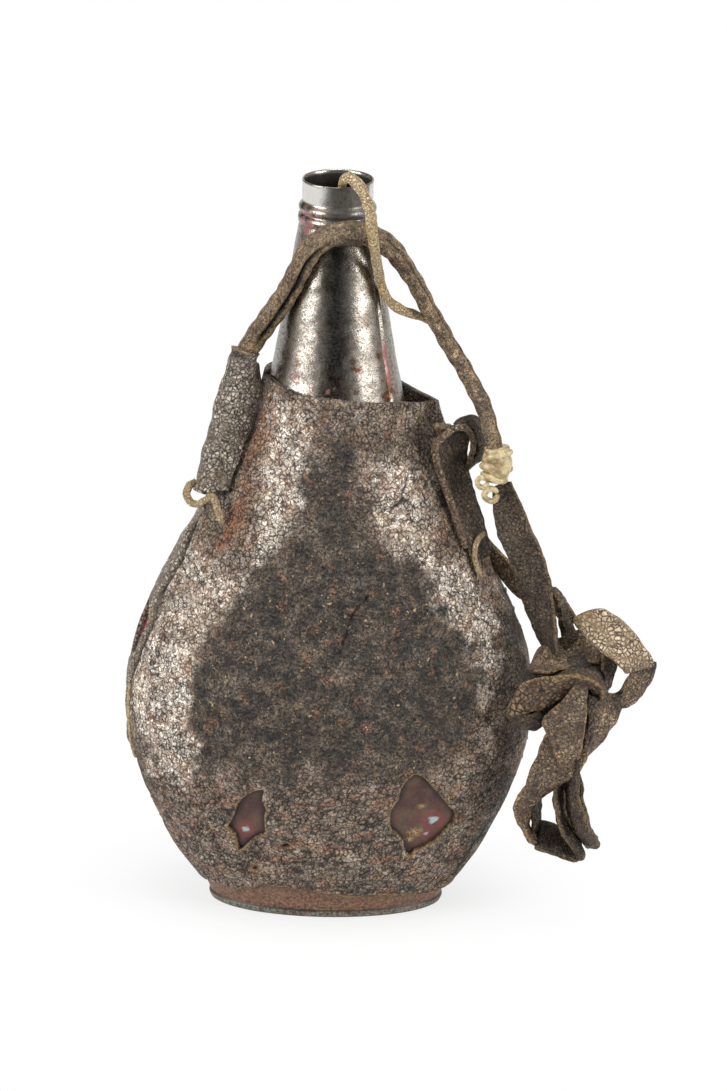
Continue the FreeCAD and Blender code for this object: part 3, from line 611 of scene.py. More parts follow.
def tube(name, points, cross, material, step_mm=0.7, around=44):
    """A closed tube round the smooth line of the points. cross takes shares of the length, angles and lengths
    along it in mm, and gives distances from the line, shades and rubbed edges."""
    raw = route(points)
    count = max(8, int(np.linalg.norm(np.diff(raw, axis=0), axis=1).sum() / step_mm))
    line, along = even(raw, count)
    side, over = frames_along(line)
    turn = np.linspace(0, 2 * np.pi, around, endpoint=False)
    share = np.repeat(along / along[-1], around)
    angle = np.tile(turn, count)
    reach, shade, edge = cross(share, angle, np.repeat(along, around))
    out = np.cos(angle)[:, None] * np.repeat(side, around, axis=0)
    out = out + np.sin(angle)[:, None] * np.repeat(over, around, axis=0)
    verts = np.repeat(line, around, axis=0) + out * reach[:, None]
    marks = {"shade": shade, "edge": edge}
    return piece_from(name, verts, capped_faces(count, around), material, marks)


# Where the rolled strap's left run ends and its right run starts, in shares of its length
LEFT_RUN_END = (0.27, 0.36)
RIGHT_RUN_START = (0.42, 0.5)


def rolled_strap(share, angle, along):
    """A strap rolled on itself: two lobes with a deep slit between them on the left run, and one facet with a
    folded edge below it on the right run."""
    left = 1 - step(*LEFT_RUN_END, share)
    mouth = 1 - step(0.0, 0.09, share)
    radius = 4.15 - 1.0 * step(0.42, 0.62, share) - 0.2 * step(0.85, 1.0, share) - 0.35 * mouth
    slit_at = 0.25 + 0.5 * share
    gap = past_angle(angle, slit_at)
    slit = np.exp(-(gap / 0.2) ** 2) * step(0.02, 0.08, share)
    fold_at = -0.75 - 0.25 * np.sin(share * 9)
    second = past_angle(angle, fold_at)
    fold = np.exp(-(second / 0.13) ** 2) * step(*RIGHT_RUN_START, share)
    wave = 0.16 * np.sin(along * 0.9 + 2 * np.sin(angle)) + 0.14 * np.sin(along * 0.37 + 3 * angle)
    flat = 1 + 0.07 * np.cos(2 * (angle - 0.4)) + 0.05 * np.cos(3 * angle + along * 0.06)
    reach = radius * flat - slit * (0.1 + 2.1 * left) - fold * 0.8 + wave
    shade = np.clip(slit * 1.0 * left + slit * 0.2 + fold * 0.75, 0, 1)
    edge = np.exp(-((gap - 0.42) / 0.14) ** 2) * 0.45 * left
    edge = edge + np.exp(-((angle - 2.2) / 0.5) ** 2) * 0.35
    edge = edge + np.exp(-((second - 0.26) / 0.1) ** 2) * 0.6 * step(*RIGHT_RUN_START, share)
    return reach, shade, np.clip(edge, 0, 1)


def thin_lace(share, angle, along):
    """A thong cut with four soft corners, squeezed here and there."""
    width = 1.85 + 0.12 * np.sin(along * 0.8) + 0.1 * np.sin(along * 0.31 + 1)
    reach = width * (1 + 0.11 * np.cos(2 * angle + along * 0.05)) + 0.08 * np.sin(4 * angle + along * 0.9)
    groove = np.exp(-(past_angle(angle, 1.9) / 0.25) ** 2)
    return reach - groove * 0.35, groove * 0.7, np.zeros_like(reach)


def band(name, stations, material, thick=2.0, step_mm=0.8, curl=0.0, wrinkle=0.35, across=15, seed=1.0,
         shade_start=0.0, shade_end=0.0):
    """A strap as wide as the line between its two edges, rounded at its edges. The stations are pairs of
    points on the two edges."""
    first = route([pair[0] for pair in stations])
    second = route([pair[1] for pair in stations])
    middle = (first + second) / 2
    length = np.linalg.norm(np.diff(middle, axis=0), axis=1).sum()
    count = max(6, int(length / step_mm))
    share = np.linspace(0, 1, count)
    first = even(first, count)[0]
    second = even(second, count)[0]
    middle = (first + second) / 2
    half = (second - first) / 2
    heading = unit(np.gradient(middle, axis=0))
    normal = unit(np.cross(heading, unit(half)))
    u = np.concatenate([np.linspace(-1, 1, across), [1.0], np.linspace(1, -1, across), [-1.0]])
    face_side = np.concatenate([np.ones(across), [0.0], -np.ones(across), [0.0]])
    half_width = np.linalg.norm(half, axis=1)
    ring = len(u)
    from_end = np.minimum(share, 1 - share) * length / (thick * 0.5)
    end_round = np.sqrt(np.clip(from_end + 0.15, 0, 1))
    verts = []
    edge = []
    shade = []
    for row in range(count):
        width = half_width[row]
        inner = np.clip(np.abs(u) * width, 0, width - thick * 0.32)
        inner = np.where(face_side == 0, width, inner)
        height = np.where(face_side == 0, 0, face_side * thick / 2)
        soft = np.clip((width - inner) / (thick * 0.8), 0, 1)
        height = height * np.sqrt(np.clip(soft + 0.35, 0, 1)) * end_round[row]
        bow = curl * (u ** 2)
        spot = middle[row] + np.sign(u)[:, None] * inner[:, None] * unit(half[row][None, :])
        spot = spot + (height + bow)[:, None] * normal[row][None, :]
        verts.append(spot)
        edge.append(np.where(face_side == 0, 0.75, step(0.95, 1.0, np.abs(u)) * 0.2))
        dim = shade_start * (1 - step(0.0, 0.25, share[row])) + shade_end * step(0.75, 1.0, share[row])
        shade.append(np.full(ring, dim))
    verts = np.concatenate(verts)
    if wrinkle:
        across_way = np.repeat(normal, ring, axis=0)
        verts = verts + across_way * (noise_at(verts, 7.0, seed) * wrinkle * 1.8
                                      + noise_at(verts, 2.4, seed + 3) * wrinkle * 0.8)[:, None]
        sideways = np.repeat(unit(half), ring, axis=0)
        ragged = noise_at(verts, 3.5, seed + 9) * 0.45
        verts = verts + sideways * (ragged * np.tile(np.abs(u) ** 4, count))[:, None]
    marks = {"edge": np.concatenate(edge), "shade": np.concatenate(shade)}
    return piece_from(name, verts, capped_faces(count, ring), material, marks)


NECK_STRAP_POINTS = ((-32.2, -7, 206.5), (-28.6, -7, 214.4), (-24.4, -8, 220.2), (-19.6, -10.2, 228.3),
                     (-15, -13.2, 237.2), (-12, -15.5, 245.5), (-8, -17.8, 252), (-1, -19, 257),
                     (9.5, -18, 257), (18.5, -12.5, 251), (27, -8, 238), (35.5, -8, 222), (45, -10, 207),
                     (52.5, -13, 194.5), (56.5, -16, 183), (58.5, -17, 172.5))
LACE_POINTS = ((1.2, -6.8, 258.5), (1.4, -7.8, 266.5), (1.6, -9.5, 274), (4.6, -14.5, 276), (8.8, -17, 272),
               (11.4, -20.5, 266), (12.3, -26, 260), (13.4, -24.8, 252.5), (14.2, -17, 245.5),
               (15.4, -12.8, 238.5), (17.5, -12.5, 231.5), (22.5, -9.5, 226.3), (29, -4.5, 223),
               (36.5, -1.5, 219.5))
CARRY_STRAP = (((57, -17, 163.5), (63.5, -17, 166)), ((57, -16, 158), (67, -18, 160)),
               ((59, -16, 146), (71.5, -20, 149.5)), ((62, -17.5, 140.5), (76.5, -20.5, 139)),
               ((66.5, -16, 128.5), (79.5, -24, 129.5)), ((71.5, -15.5, 114.5), (81, -26.5, 117.5)),
               ((76.5, -16, 105.5), (82.5, -28, 109)), ((79, -18, 101), (82, -30, 104.5)))
RETURN_STRAP = (((54.5, 2, 132.5), (55.2, 1, 139.5)), ((59.5, -1.5, 126.5), (61, -3, 135)),
                ((64, -2.5, 120), (65.8, -5.5, 129.5)), ((69.5, -3, 116), (72, -8, 125)),
                ((75.5, -2.5, 114), (78.5, -11.5, 121.5)), ((82, -5.5, 112.5), (85.5, -14.5, 120)),
                ((84.5, -9, 108), (88.5, -19, 114)))

strap_roll = tube("strap_roll", NECK_STRAP_POINTS, rolled_strap, ROLLED)
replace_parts(strap_roll, "neck_strap")
lace = tube("mouth_lace_thong", LACE_POINTS, thin_lace, LACE)
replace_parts(lace, "mouth_lace")
strap_flat = band("strap_flat", CARRY_STRAP, STRAP_DARK, curl=0.9, shade_end=0.4)
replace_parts(strap_flat, "carry_strap")
strap_return = band("strap_return", RETURN_STRAP, STRAP, seed=2.0, shade_start=0.8,
                    shade_end=0.5)
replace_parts(strap_return, "return_strap")


# Leather cover

DARK_ZONE = [(-6.4, 184), (-7.8, 177.7), (-10.5, 155.4), (-21.3, 139.7), (-33.6, 123.4), (-43.4, 109.2),
             (-48.3, 98.4), (-49.6, 85.2), (-48.7, 72.1), (-46.1, 58.9), (-40, 52), (-31.1, 52), (-9.6, 57),
             (8.3, 57), (26.2, 60), (40.5, 62), (46.4, 67.9), (51.2, 79), (56, 91.1), (53.2, 101.7),
             (45.4, 115.8), (37.6, 127.6), (27.5, 135), (17.3, 145.6), (12, 163.1), (10.3, 177.8), (4.2, 186)]
RUST_ZONE = [(-25.7, 194.5), (-29.7, 177.4), (-34.6, 157.5), (-41.5, 141.1), (-45, 135.2), (-39, 139.7),
             (-30.9, 152.2), (-25.3, 176.2), (-20.9, 191.2)]
# Zones of rubbed grain, lighter in colour; that light colour is partly painted sheen.
PALE_ZONES = (([(-25.6, 192), (-10.2, 196.6), (-8.9, 179.3), (-11.3, 156.4), (-19.9, 143.3), (-24.4, 135.1),
                (-28.8, 138.7), (-25.1, 166.5)], 1.0),
              ([(14.3, 173.7), (22, 176.2), (33, 159.1), (38.8, 138.2), (37.5, 133.4), (24.5, 140.2),
                (15.7, 154.8)], 0.9),
              ([(30, 142), (47, 135), (57, 121), (61, 104), (61, 88), (55, 82), (51, 100), (44, 112),
                (36, 126)], 0.9),
              ([(-64.8, 107.2), (-51.7, 106.7), (-47.6, 98.9), (-48.8, 78.2), (-47.2, 59), (-51.2, 47.4),
                (-60.4, 50.5), (-70, 72.5), (-71, 94.2)], 1.0),
              ([(-52, 140), (-40, 138), (-30, 128), (-46, 108), (-62, 110)], 0.8))
LONG_CRACKS = (((13.1, 127.5), (9.9, 124), (7.2, 119.7), (5.8, 114), (3.8, 107.5)),
               ((26.5, 167.1), (25.5, 163.3), (23.8, 159.5), (21, 158.5), (18.1, 158.1)))
SMALL_HOLE = (-29.4, 152.2)
SIDE_GASH = (46.0, 14.0, 0.62)
CREAM_SPOTS = ((-0.7, 140), (33.6, 130.9), (16.8, 137.9))
COVER_HEIGHT = 190
FLESH_LIFT = -1.9

# The turned-in rim of the cover: two depths, and how much of each mark, at least, is left at them; the crack
# mark raised on both depths, most on the deeper, is painted shade on the rim's walls
RIM_DEPTHS = (0.9, LEATHER - 0.2)
RIM_SHARES = {"torn": (0.5, 0.1), "split": (0.3, 0.8)}
RIM_LEAST = {"split": (0.3, 0.8)}


def cover_point(turn, z, lift=0.0):
    """A point of the cover for an angle in degrees from the front (90 at the right) and a height."""
    a, b = section(z, LEATHER + lift)
    turn = np.radians(turn)
    x = a * np.sin(turn)
    y = -b * np.cos(turn)
    tip = a + EAR_REACH * step(EAR_FOOT, EAR_TOP, z)
    touch_x = a * a / tip
    touch_y = b * np.sqrt(np.clip(1 - (a / tip) ** 2, 0, 1))
    touch = np.arcsin(np.clip(a / tip, 0, 1))
    from_side = np.abs(turn - np.pi / 2)
    span = np.maximum(np.pi / 2 - touch, 1e-6)
    share = np.clip((span - from_side) / span, 0, 1)
    on_ear = (from_side < span) & (z > EAR_FOOT)
    x = np.where(on_ear, touch_x + (tip - touch_x) * share, x)
    y = np.where(on_ear, np.sign(y) * touch_y * (1 - share), y)
    return np.stack([x, y, np.broadcast_to(z, x.shape)], -1)


def cover_sheet(name, node, first_turn, last_turn, columns, rows, rag, holes, lift, material, relief=None):
    """One side of the cover, with its holes left open and its rim turned in to the tin. The sheet without a
    relief is the fleshy layer behind it."""
    share_up = np.linspace(0, 1, rows)
    z_guess = np.linspace(8, 195, rows)[:, None] * np.ones((1, columns))
    # The height of the ragged edges depends on x and x on the height, so each is found from the other in turn
    for _ in range(4):
        first = first_turn(z_guess)
        last = last_turn(z_guess)
        turns = first + (last - first) * np.linspace(0, 1, columns)[None, :]
        x = cover_point(turns, z_guess)[..., 0]
        low = straight_table(rag, x)
        high = straight_table(TOP_LINE, x)
        z_guess = low[0][None, :] * (1 - share_up[:, None]) + high[-1][None, :] * share_up[:, None]
    points = cover_point(turns, z_guess, lift)
    flat = points.reshape(-1, 3)
    across = np.gradient(points, axis=1)
    up = np.gradient(points, axis=0)
    normal = unit(np.cross(across, up)).reshape(-1, 3)
    x = flat[:, 0].copy()
    z = flat[:, 2].copy()
    faces = grid_faces(rows, columns)
    dropped = np.zeros(len(flat), bool)
    torn = np.zeros(len(flat))
    for hole in holes:
        near_x, near_z, distance = nearest_on(hole, x, z)
        snap = distance < 0.5 * COVER_HEIGHT / rows + 0.05
        flat[:, 0] += (near_x - x) * snap
        flat[:, 2] += (near_z - z) * snap
        dropped |= inside(hole, x, z) & ~snap
        torn = np.maximum(torn, np.exp(-(distance / 0.5) ** 2))
    faces = [face for face in faces if not dropped[list(face)].any()]
    up_way = (z_guess - z_guess[0][None, :]).reshape(-1)
    down_way = (z_guess[-1][None, :] - z_guess).reshape(-1)
    torn = np.maximum(torn, np.exp(-(up_way / 0.8) ** 2))
    marks = {"torn": torn * (0.35 + 0.65 * step(-0.25, 0.15, noise_at(flat, 4.5, 44)))}
    if relief:
        height, extra = relief(flat, x, z, torn, down_way)
        marks.update(extra)
        flat = flat + normal * height[:, None]
    used = sorted({index for face in faces for index in face})
    renumber = {old: new for new, old in enumerate(used)}
    faces = [tuple(renumber[index] for index in face) for face in faces]
    flat = flat[used]
    normal = normal[used]
    marks = {key: values[used] for key, values in marks.items()}
    if relief:
        edges = [pair for face in faces for pair in zip(face, face[1:] + face[:1])]
        known = set(edges)
        border = [(start, end) for start, end in edges if (end, start) not in known]
        rim = sorted({index for pair in border for index in pair})
        upper = {index: len(flat) + number for number, index in enumerate(rim)}
        lower = {index: len(flat) + len(rim) + number for number, index in enumerate(rim)}
        flat = np.concatenate([flat] + [flat[rim] - normal[rim] * depth for depth in RIM_DEPTHS])
        for key, values in marks.items():
            shares = RIM_SHARES.get(key, (1.0, 1.0))
            least = RIM_LEAST.get(key, (0.0, 0.0))
            turned_in = [np.maximum(values[rim] * share, low) for share, low in zip(shares, least)]
            marks[key] = np.concatenate([values, *turned_in])
        for start, end in border:
            faces.append((end, start, upper[start], upper[end]))
            faces.append((upper[end], upper[start], lower[start], lower[end]))
    piece = piece_from(name, flat, faces, material, marks)
    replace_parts(piece, node)


def front_relief(points, x, z, torn, down_way):
    """Height of the front's worn surface above the smooth cover, and its marks."""
    lower = 1 - step(45, 75, z)
    # Swellings, the cracks between plates, and the long cracks and small hole
    swell = noise_at(points, 16.0, 1) * 0.55 + noise_at(points, 5.5, 2) * 0.35
    cells = cells_at(points, 3.3, 4)
    cracks = np.exp(-(cells / 0.1) ** 2) * step(-0.25, 0.2, noise_at(points, 7.0, 14))
    height = swell - cracks * 0.4
    split = np.zeros(len(points))
    for crack in LONG_CRACKS:
        wobble = noise_at(points, 2.0, 11) * 0.6
        split = np.maximum(split, np.exp(-((nearest_on(crack, x + wobble, z, closed=False)[2] / 0.4) ** 2)))
    hole = np.hypot(x - SMALL_HOLE[0], z - SMALL_HOLE[1])
    split = np.maximum(split, np.exp(-(hole / 0.8) ** 2))
    height = height - split * 0.8
    # Puckers and a hem at the top edge
    pucker = step(17, 24, x) * (1 - step(0, 15, down_way))
    height = height + pucker * (np.sin(x * 1.35 + z * 0.25) * 0.45)
    hem = np.exp(-((down_way - 1.0) / 0.9) ** 2) * 0.45 - np.exp(-((down_way - 3.2) / 0.7) ** 2) * 0.2
    height = height + hem
    height = height - torn * 0.5
    # Zones of dark oil, rust, and rubbed grain whose light colour is partly painted sheen, with their
    # outlines made uneven
    soft = noise_at(points, 9.0, 31) * 4.5 + noise_at(points, 3.0, 33) * 3.0
    fade = 3.5 + 6.5 * step(125, 155, z)
    dark = zone(DARK_ZONE, x + soft, z + soft, fade) * (0.3 + 0.7 * step(52, 74, z))
    dark = np.clip(dark * (0.92 + 0.4 * noise_at(points, 6.0, 35)), 0, 1)
    # A band along the right edge is darkened too, partly dirt and partly painted shade where the side turns
    # away from the light.
    dark = np.maximum(dark, 0.3 * step(60, 66, x) * step(70, 95, z))
    rust = zone(RUST_ZONE, x + soft * 0.5, z, 2.0)
    rust = np.maximum(rust, 0.5 * step(0.28, 0.5, noise_at(points, 4.5, 41)))
    worn = np.full(len(points), 0.14)
    for outline, share in PALE_ZONES:
        worn = np.maximum(worn, share * zone(outline, x + soft, z + soft, 4.0))
    worn = np.clip(worn + 0.3 * np.clip(noise_at(points, 8.0, 51), -0.4, 1), 0, 1)
    worn = np.maximum(worn, 0.16 * lower)
    for spot_x, spot_z in CREAM_SPOTS:
        worn = np.maximum(worn, np.exp(-((np.hypot(x - spot_x, z - spot_z) / 1.3) ** 2)))
    # Rusty streaks, painted shadows in folds and a gash in the lower part
    streaks = noise_at(points * np.array([0.45, 1.0, 1.7]), 5.0, 61)
    rust = np.maximum(rust, lower * 0.7 * step(0.05, 0.4, streaks))
    shadow = lower * np.exp(-((noise_at(points * np.array([0.5, 1.0, 1.5]), 6.5, 71)) / 0.05) ** 2) * 0.55
    gash_x, gash_z, slope = SIDE_GASH
    gash = np.exp(-((x - gash_x - (z - gash_z) * slope) / 0.9) ** 2) * step(10, 14, z) * (1 - step(34, 40, z))
    # Cracks, the gash and the painted fold shadows all darken through the crack mark.
    split = np.clip(split + cracks * (0.35 + 0.45 * lower) + shadow + gash, 0, 1)
    return height, {"dark": dark, "rust": rust, "worn": worn, "split": split}


def back_relief(points, x, z, torn, down_way):
    """The same for the back, which is plain."""
    swell = noise_at(points, 16.0, 3) * 0.5 + noise_at(points, 5.5, 5) * 0.25
    zero = np.zeros(len(points))
    worn = np.clip(0.25 + 0.4 * noise_at(points, 12.0, 8), 0, 1)
    rust = np.clip(noise_at(points, 10.0, 9), 0, 1) * 0.6
    return swell - torn * 0.9, {"dark": zero, "rust": rust, "worn": worn, "split": zero}


def seam_turn(z):
    """Angle of the front's left edge."""
    depth = straight_table(SEAM_LINE, z)
    half_depth = section(z, LEATHER)[1]
    return -np.degrees(np.arccos(np.clip(depth / half_depth, 0, 1)))


def same_turn(turn):
    """An edge that stands at one angle all the way up."""
    return lambda z: np.full_like(z, turn)


FRONT_OPENINGS = (LEFT_HOLE, RIGHT_HOLE) + TEARS
FRONT_EDGES = (seam_turn, same_turn(90.0))
BACK_EDGES = (same_turn(90.2), same_turn(269.5))
cover_sheet("cover_front", "jacket_front", *FRONT_EDGES, 250, 285, FRONT_RAG, FRONT_OPENINGS, 0.0, COVER,
            front_relief)
cover_sheet("cover_front_flesh", "jacket_front", *FRONT_EDGES, 70, 90, FRONT_RAG, FRONT_OPENINGS, FLESH_LIFT,
            SLEEVE)
cover_sheet("cover_back", "jacket_back", *BACK_EDGES, 120, 125, BACK_RAG, (), 0.0, COVER, back_relief)
cover_sheet("cover_back_flesh", "jacket_back", *BACK_EDGES, 60, 60, BACK_RAG, (), FLESH_LIFT, SLEEVE)


# Tin bottle

BARE_SPOTS = ((-29, 36.5, 1.4), (38.5, 40.5, 1.9), (36, 35, 0.6))
GOLD_SCRATCHES = ((32, 36, 1.5), (30, 33, 1.0), (34, 47, 0.8))
MOUTH_RADIUS = 12.0


def tin_bottle():
    """The painted tin inside the cover, down to the tray's rim."""
    heights = np.concatenate([np.linspace(2.6, 63, 122), np.linspace(64.5, 186, 60)])
    columns = 420
    turns = np.linspace(0, 2 * np.pi, columns, endpoint=False)
    a, b = section(heights[:, None])
    level = heights[:, None] * np.ones((1, columns))
    verts = np.stack([a * np.sin(turns), -b * np.cos(turns), level], -1).reshape(-1, 3)
    x = verts[:, 0]
    z = verts[:, 2]
    front = verts[:, 1] < 0
    bare = np.zeros(len(verts))
    for spot_x, spot_z, size in BARE_SPOTS:
        wobble = 1 + 0.5 * noise_at(verts, 1.1, 2)
        away = np.hypot(x - spot_x, z - spot_z) / (size * wobble)
        bare = np.maximum(bare, front * (1 - step(0.75, 1.0, away)))
    scuff = np.zeros(len(verts))
    for spot_x, spot_z, size in GOLD_SCRATCHES:
        scuff = np.maximum(scuff, front * np.exp(-((np.hypot((x - spot_x) * 0.6, z - spot_z) / size) ** 2)))
    rose = np.clip(noise_at(verts, 4.0, 5) * 1.4 - 0.45, 0, 1) * 0.5
    for spot_x, spot_z, size in BARE_SPOTS:
        away = np.hypot(x - spot_x, z - spot_z) + noise_at(verts, 1.6, 7) * 1.2
        rose = np.maximum(rose, front * np.exp(-((away - size * 1.6) / 1.1) ** 2) * 0.55)
    bared = step(BARE_BOTTOM - 6, BARE_BOTTOM, z) * (1 - step(BARE_TOP, BARE_TOP + 6, z))
    rose = np.maximum(rose, (x < -50) * bared)
    foot = 1 - step(9, 14, z)
    shade = np.zeros(len(verts))
    for hole in (LEFT_HOLE, RIGHT_HOLE):
        away = nearest_on(hole, x, z)[2]
        shade = np.maximum(shade, front * 0.85 * np.exp(-(away / 1.3) ** 2))
    dents = noise_at(verts, 13.0, 6) * 0.35
    outward = unit(verts * np.array([1.0, 2.2, 0.0]))
    verts = verts + outward * (dents * step(10, 20, z))[:, None]
    faces = grid_faces(len(heights), columns, closed=True)
    marks = {"bare": bare, "scuff": scuff, "rose": rose, "foot": foot, "shade": shade}
    return piece_from("tin_body", verts, faces, PAINT, marks)


tin_body = tin_bottle()
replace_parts(tin_body, "body_front_shell")
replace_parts(tin_body, "body_back_shell")


def turned(name, profile, material, around=128, marks_for=None, ratio=None, lean=None):
    """A piece turned from a closed profile of radius and height, flattened by a ratio for each height."""
    profile = np.array(profile, float)
    turns = np.linspace(0, 2 * np.pi, around, endpoint=False)
    radius = profile[:, 0][:, None]
    height = profile[:, 1][:, None] * np.ones((1, around))
    verts = np.stack([radius * np.sin(turns), -radius * np.cos(turns), height], -1)
    if ratio is not None:
        verts = ratio(verts, turns, profile)
    verts = verts.reshape(-1, 3)
    if lean is not None:
        verts = lean(verts)
    faces = []
    for row in range(len(profile)):
        there = (row + 1) % len(profile)
        for column in range(around):
            beside = (column + 1) % around
            faces.append((row * around + column, row * around + beside,
                          there * around + beside, there * around + column))
    return piece_from(name, verts, faces, material, marks_for(verts) if marks_for else {})


def tray_shape(verts, turns, profile):
    """Sections as wide and as deep as the bottle's foot, grown by the profile's first number."""
    (low, low_a, low_b), (high, high_a, high_b) = BOTTLE[:2]
    out = verts.copy()
    for row, (grow, height) in enumerate(profile):
        share = np.clip((height - low) / (high - low), 0, 1)
        out[row, :, 0] = (low_a + (high_a - low_a) * share + grow) * np.sin(turns)
        out[row, :, 1] = -(low_b + (high_b - low_b) * share + grow) * np.cos(turns)
    return out


def foot_marks(verts):
    """The bare rim between two lines of painted shade, at its top and at its bottom, and the paint above it.
    """
    z = verts[:, 2]
    rough = noise_at(verts, 3.0, 4)
    nothing = np.zeros(len(verts))
    line = np.exp(-((z - 2.6) / 0.35) ** 2) + np.exp(-((z - 0.1) / 0.35) ** 2)
    rim = (1 - step(2.3, 2.8, z)) * (0.65 + 0.35 * step(-0.2, 0.3, rough))
    return {"bare": nothing, "scuff": nothing, "rose": nothing, "foot": nothing + 1.0, "rim": rim,
            "shade": np.clip(line * 0.85, 0, 1)}


FOOT_PROFILE = ((-0.4, 3.6), (-0.2, 3.0), (0.2, 2.7), (0.35, 2.5), (0.8, 2.2), (1.0, 1.7), (1.05, 1.2),
                (1.05, 0.8), (0.9, 0.35), (0.4, 0.05), (-1.0, 0.0), (-1.6, 0.5), (-1.8, 1.6), (-1.8, 2.2),
                (-12.0, 2.4), (-20.0, 2.4), (-20.0, 3.2), (-0.6, 3.2))
foot_rim = turned("tin_foot_rim", FOOT_PROFILE, PAINT, marks_for=foot_marks, ratio=tray_shape,
                  around=200)
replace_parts(foot_rim, "base_tray")


def neck():
    """The conical neck, with its sheet lapped over itself to the right of the front."""
    heights = np.linspace(NECK_BASE, NECK_TOP, 120)
    columns = 220
    turns = np.linspace(0, 2 * np.pi, columns, endpoint=False)
    a, b = section(heights[:, None])
    level = heights[:, None] * np.ones((1, columns))
    degrees = np.degrees(turns)[None, :] * np.ones((len(heights), 1))
    from_start = step(LAP_START - 0.5, LAP_START + 0.5, degrees)
    lap = from_start * (1 - step(LAP_END - 0.5, LAP_END + 0.5, degrees)) * LAP_RISE
    lap = lap + 0.25 * np.exp(-((degrees - LAP_START) / 1.2) ** 2)
    verts = np.stack([(a + lap) * np.sin(turns), -(b + lap) * np.cos(turns), level], -1).reshape(-1, 3)
    outward = unit(verts * np.array([1.0, 1.0, 0.0]))
    dents = noise_at(verts, 9.0, 3) * 0.22 + noise_at(verts, 3.0, 4) * 0.07
    verts = verts + outward * dents[:, None]
    degrees = degrees.reshape(-1)
    z = verts[:, 2]
    wobble = noise_at(verts, 3.0, 8) * 1.5
    red = np.exp(-((degrees - LAP_START + wobble) / 2.2) ** 2) * (1 - step(212, 217, z)) * step(197, 202, z)
    left = step(295, 300, degrees) * (1 - step(335, 345, degrees))
    red = np.maximum(red, left * step(238, 250, z) * step(-0.05, 0.25, noise_at(verts, 3.5, 12)))
    red = np.maximum(red, 0.7 * step(0.42, 0.5, noise_at(verts, 2.2, 15)) * (z < 204))
    stain = 0.35 + 0.65 * (1 - step(205, 240, z))
    marks = {"red": np.clip(red, 0, 1), "stain": stain, "shade": np.zeros(len(verts))}
    faces = grid_faces(len(heights), columns, closed=True)
    return piece_from("tin_neck", verts, faces, TIN, marks)


tin_neck = neck()
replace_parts(tin_neck, "neck_cone")


def ring_marks(verts):
    """Red paint left of the front on the beads, a clean band above them, painted shade across the front, and
    painted shade in the hollow.
    """
    z = verts[:, 2]
    turn = np.degrees(np.arctan2(verts[:, 0], -verts[:, 1]))
    red = np.exp(-((turn + 50) / 22) ** 2)
    red = red * (1 - step(261, 265, z)) * step(-0.1, 0.25, noise_at(verts, 2.0, 3))
    hollow = np.hypot(verts[:, 0], verts[:, 1]) < MOUTH_RADIUS + 0.06
    # The front of the ring is painted darker: the clean band is dimmed there, and painted shade is laid over
    # it.
    front = step(-20, -6, turn) * (1 - step(56, 66, turn))
    bright = 1 - front * 0.92
    clean = step(263.6, 264.4, z) * (1 - step(270.6, 271.2, z)) * (1 - hollow) * bright
    painted_front_shade = front * (1 - hollow) * 0.6
    beads = np.maximum(np.exp(-((z - 260.9) / 0.7) ** 2), np.exp(-((z - 257.5) / 0.7) ** 2)) * 0.7
    beads = beads * step(-0.2, 0.1, noise_at(verts, 3.0, 9)) * (1 - hollow) * 0.5
    return {"red": red, "stain": 0.3 + 0.7 * (z < 262), "clean": np.maximum(clean, beads),
            "shade": np.maximum(hollow * (0.9 + 0.1 * step(0, 6, 271 - z)), painted_front_shade)}


def bead_lean(verts):
    """The lower bead sags a little to the right."""
    tilt = np.exp(-((verts[:, 2] - 260) / 3) ** 2)
    return verts + np.stack([np.zeros(len(verts)), np.zeros(len(verts)), verts[:, 0] * -0.02 * tilt], 1)


RING_PROFILE = ((13.65, 255.6), (13.95, 256.4), (14.1, 257.4), (13.9, 258.5), (13.3, 259.0), (13.0, 259.5),
                (13.3, 260.0), (13.8, 260.6), (13.85, 261.6), (13.4, 262.5), (12.7, 263.3), (12.45, 264.0),
                (12.6, 264.6), (12.65, 270.6), (12.75, 271.2), (12.6, 271.55), (12.3, 271.5), (12.1, 271.0),
                (12.0, 270.0), (12.0, 263.0), (12.0, 256.0), (12.9, 255.5))
THROAT_PROFILE = ((11.9, 256.2), (13.0, 250.0), (16.0, 236.0), (20.0, 215.0), (19.4, 215.0), (15.4, 236.0),
                  (12.4, 250.0), (11.4, 256.2))
mouth_ring = turned("mouth_ring", RING_PROFILE, TIN, marks_for=ring_marks, lean=bead_lean)
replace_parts(mouth_ring, "mouth_collar")
throat = turned("neck_inside", THROAT_PROFILE, INSIDE)
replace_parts(throat, "neck_cone")


# Strap bundle

TOP_LOOP = (((86.5, -22, 115.5), (88.5, -20, 112)), ((88.5, -26, 119.5), (91.5, -27, 110.5)),
            ((96.5, -29, 123.5), (95, -33, 109)), ((104, -30, 119), (98.5, -35, 107)),
            ((112, -29, 110.5), (103.5, -36, 103)), ((117, -27, 100.5), (105.5, -34, 100)))
TOP_RETURN = (((117, -27, 102), (107, -31, 104)), ((117, -26, 97.5), (108, -31, 99.5)),
              ((113.5, -23, 90.5), (106.5, -31, 96)), ((109.5, -22, 84.5), (104.5, -30, 91.5)),
              ((103, -24, 83), (101, -29, 89.5)), ((96.5, -27, 85.5), (96.5, -31, 92)),
              ((92, -30, 90), (92.5, -31, 94)))
INNER_PLATE = (((97, -29, 107.5), (104, -26, 103)), ((97.5, -30, 100.5), (102.5, -27, 98.5)),
               ((97.5, -31, 92.5), (101, -28, 92)))
NECK_FOLD = (((79.5, -15, 126), (80, -19, 125)), ((83.5, -15, 123.5), (81.5, -20, 120)),
             ((85.5, -16, 118.5), (82, -21.5, 114.5)), ((87.5, -18, 112), (83.5, -23, 109)),
             ((89, -20, 107), (84.5, -24, 103.5)))
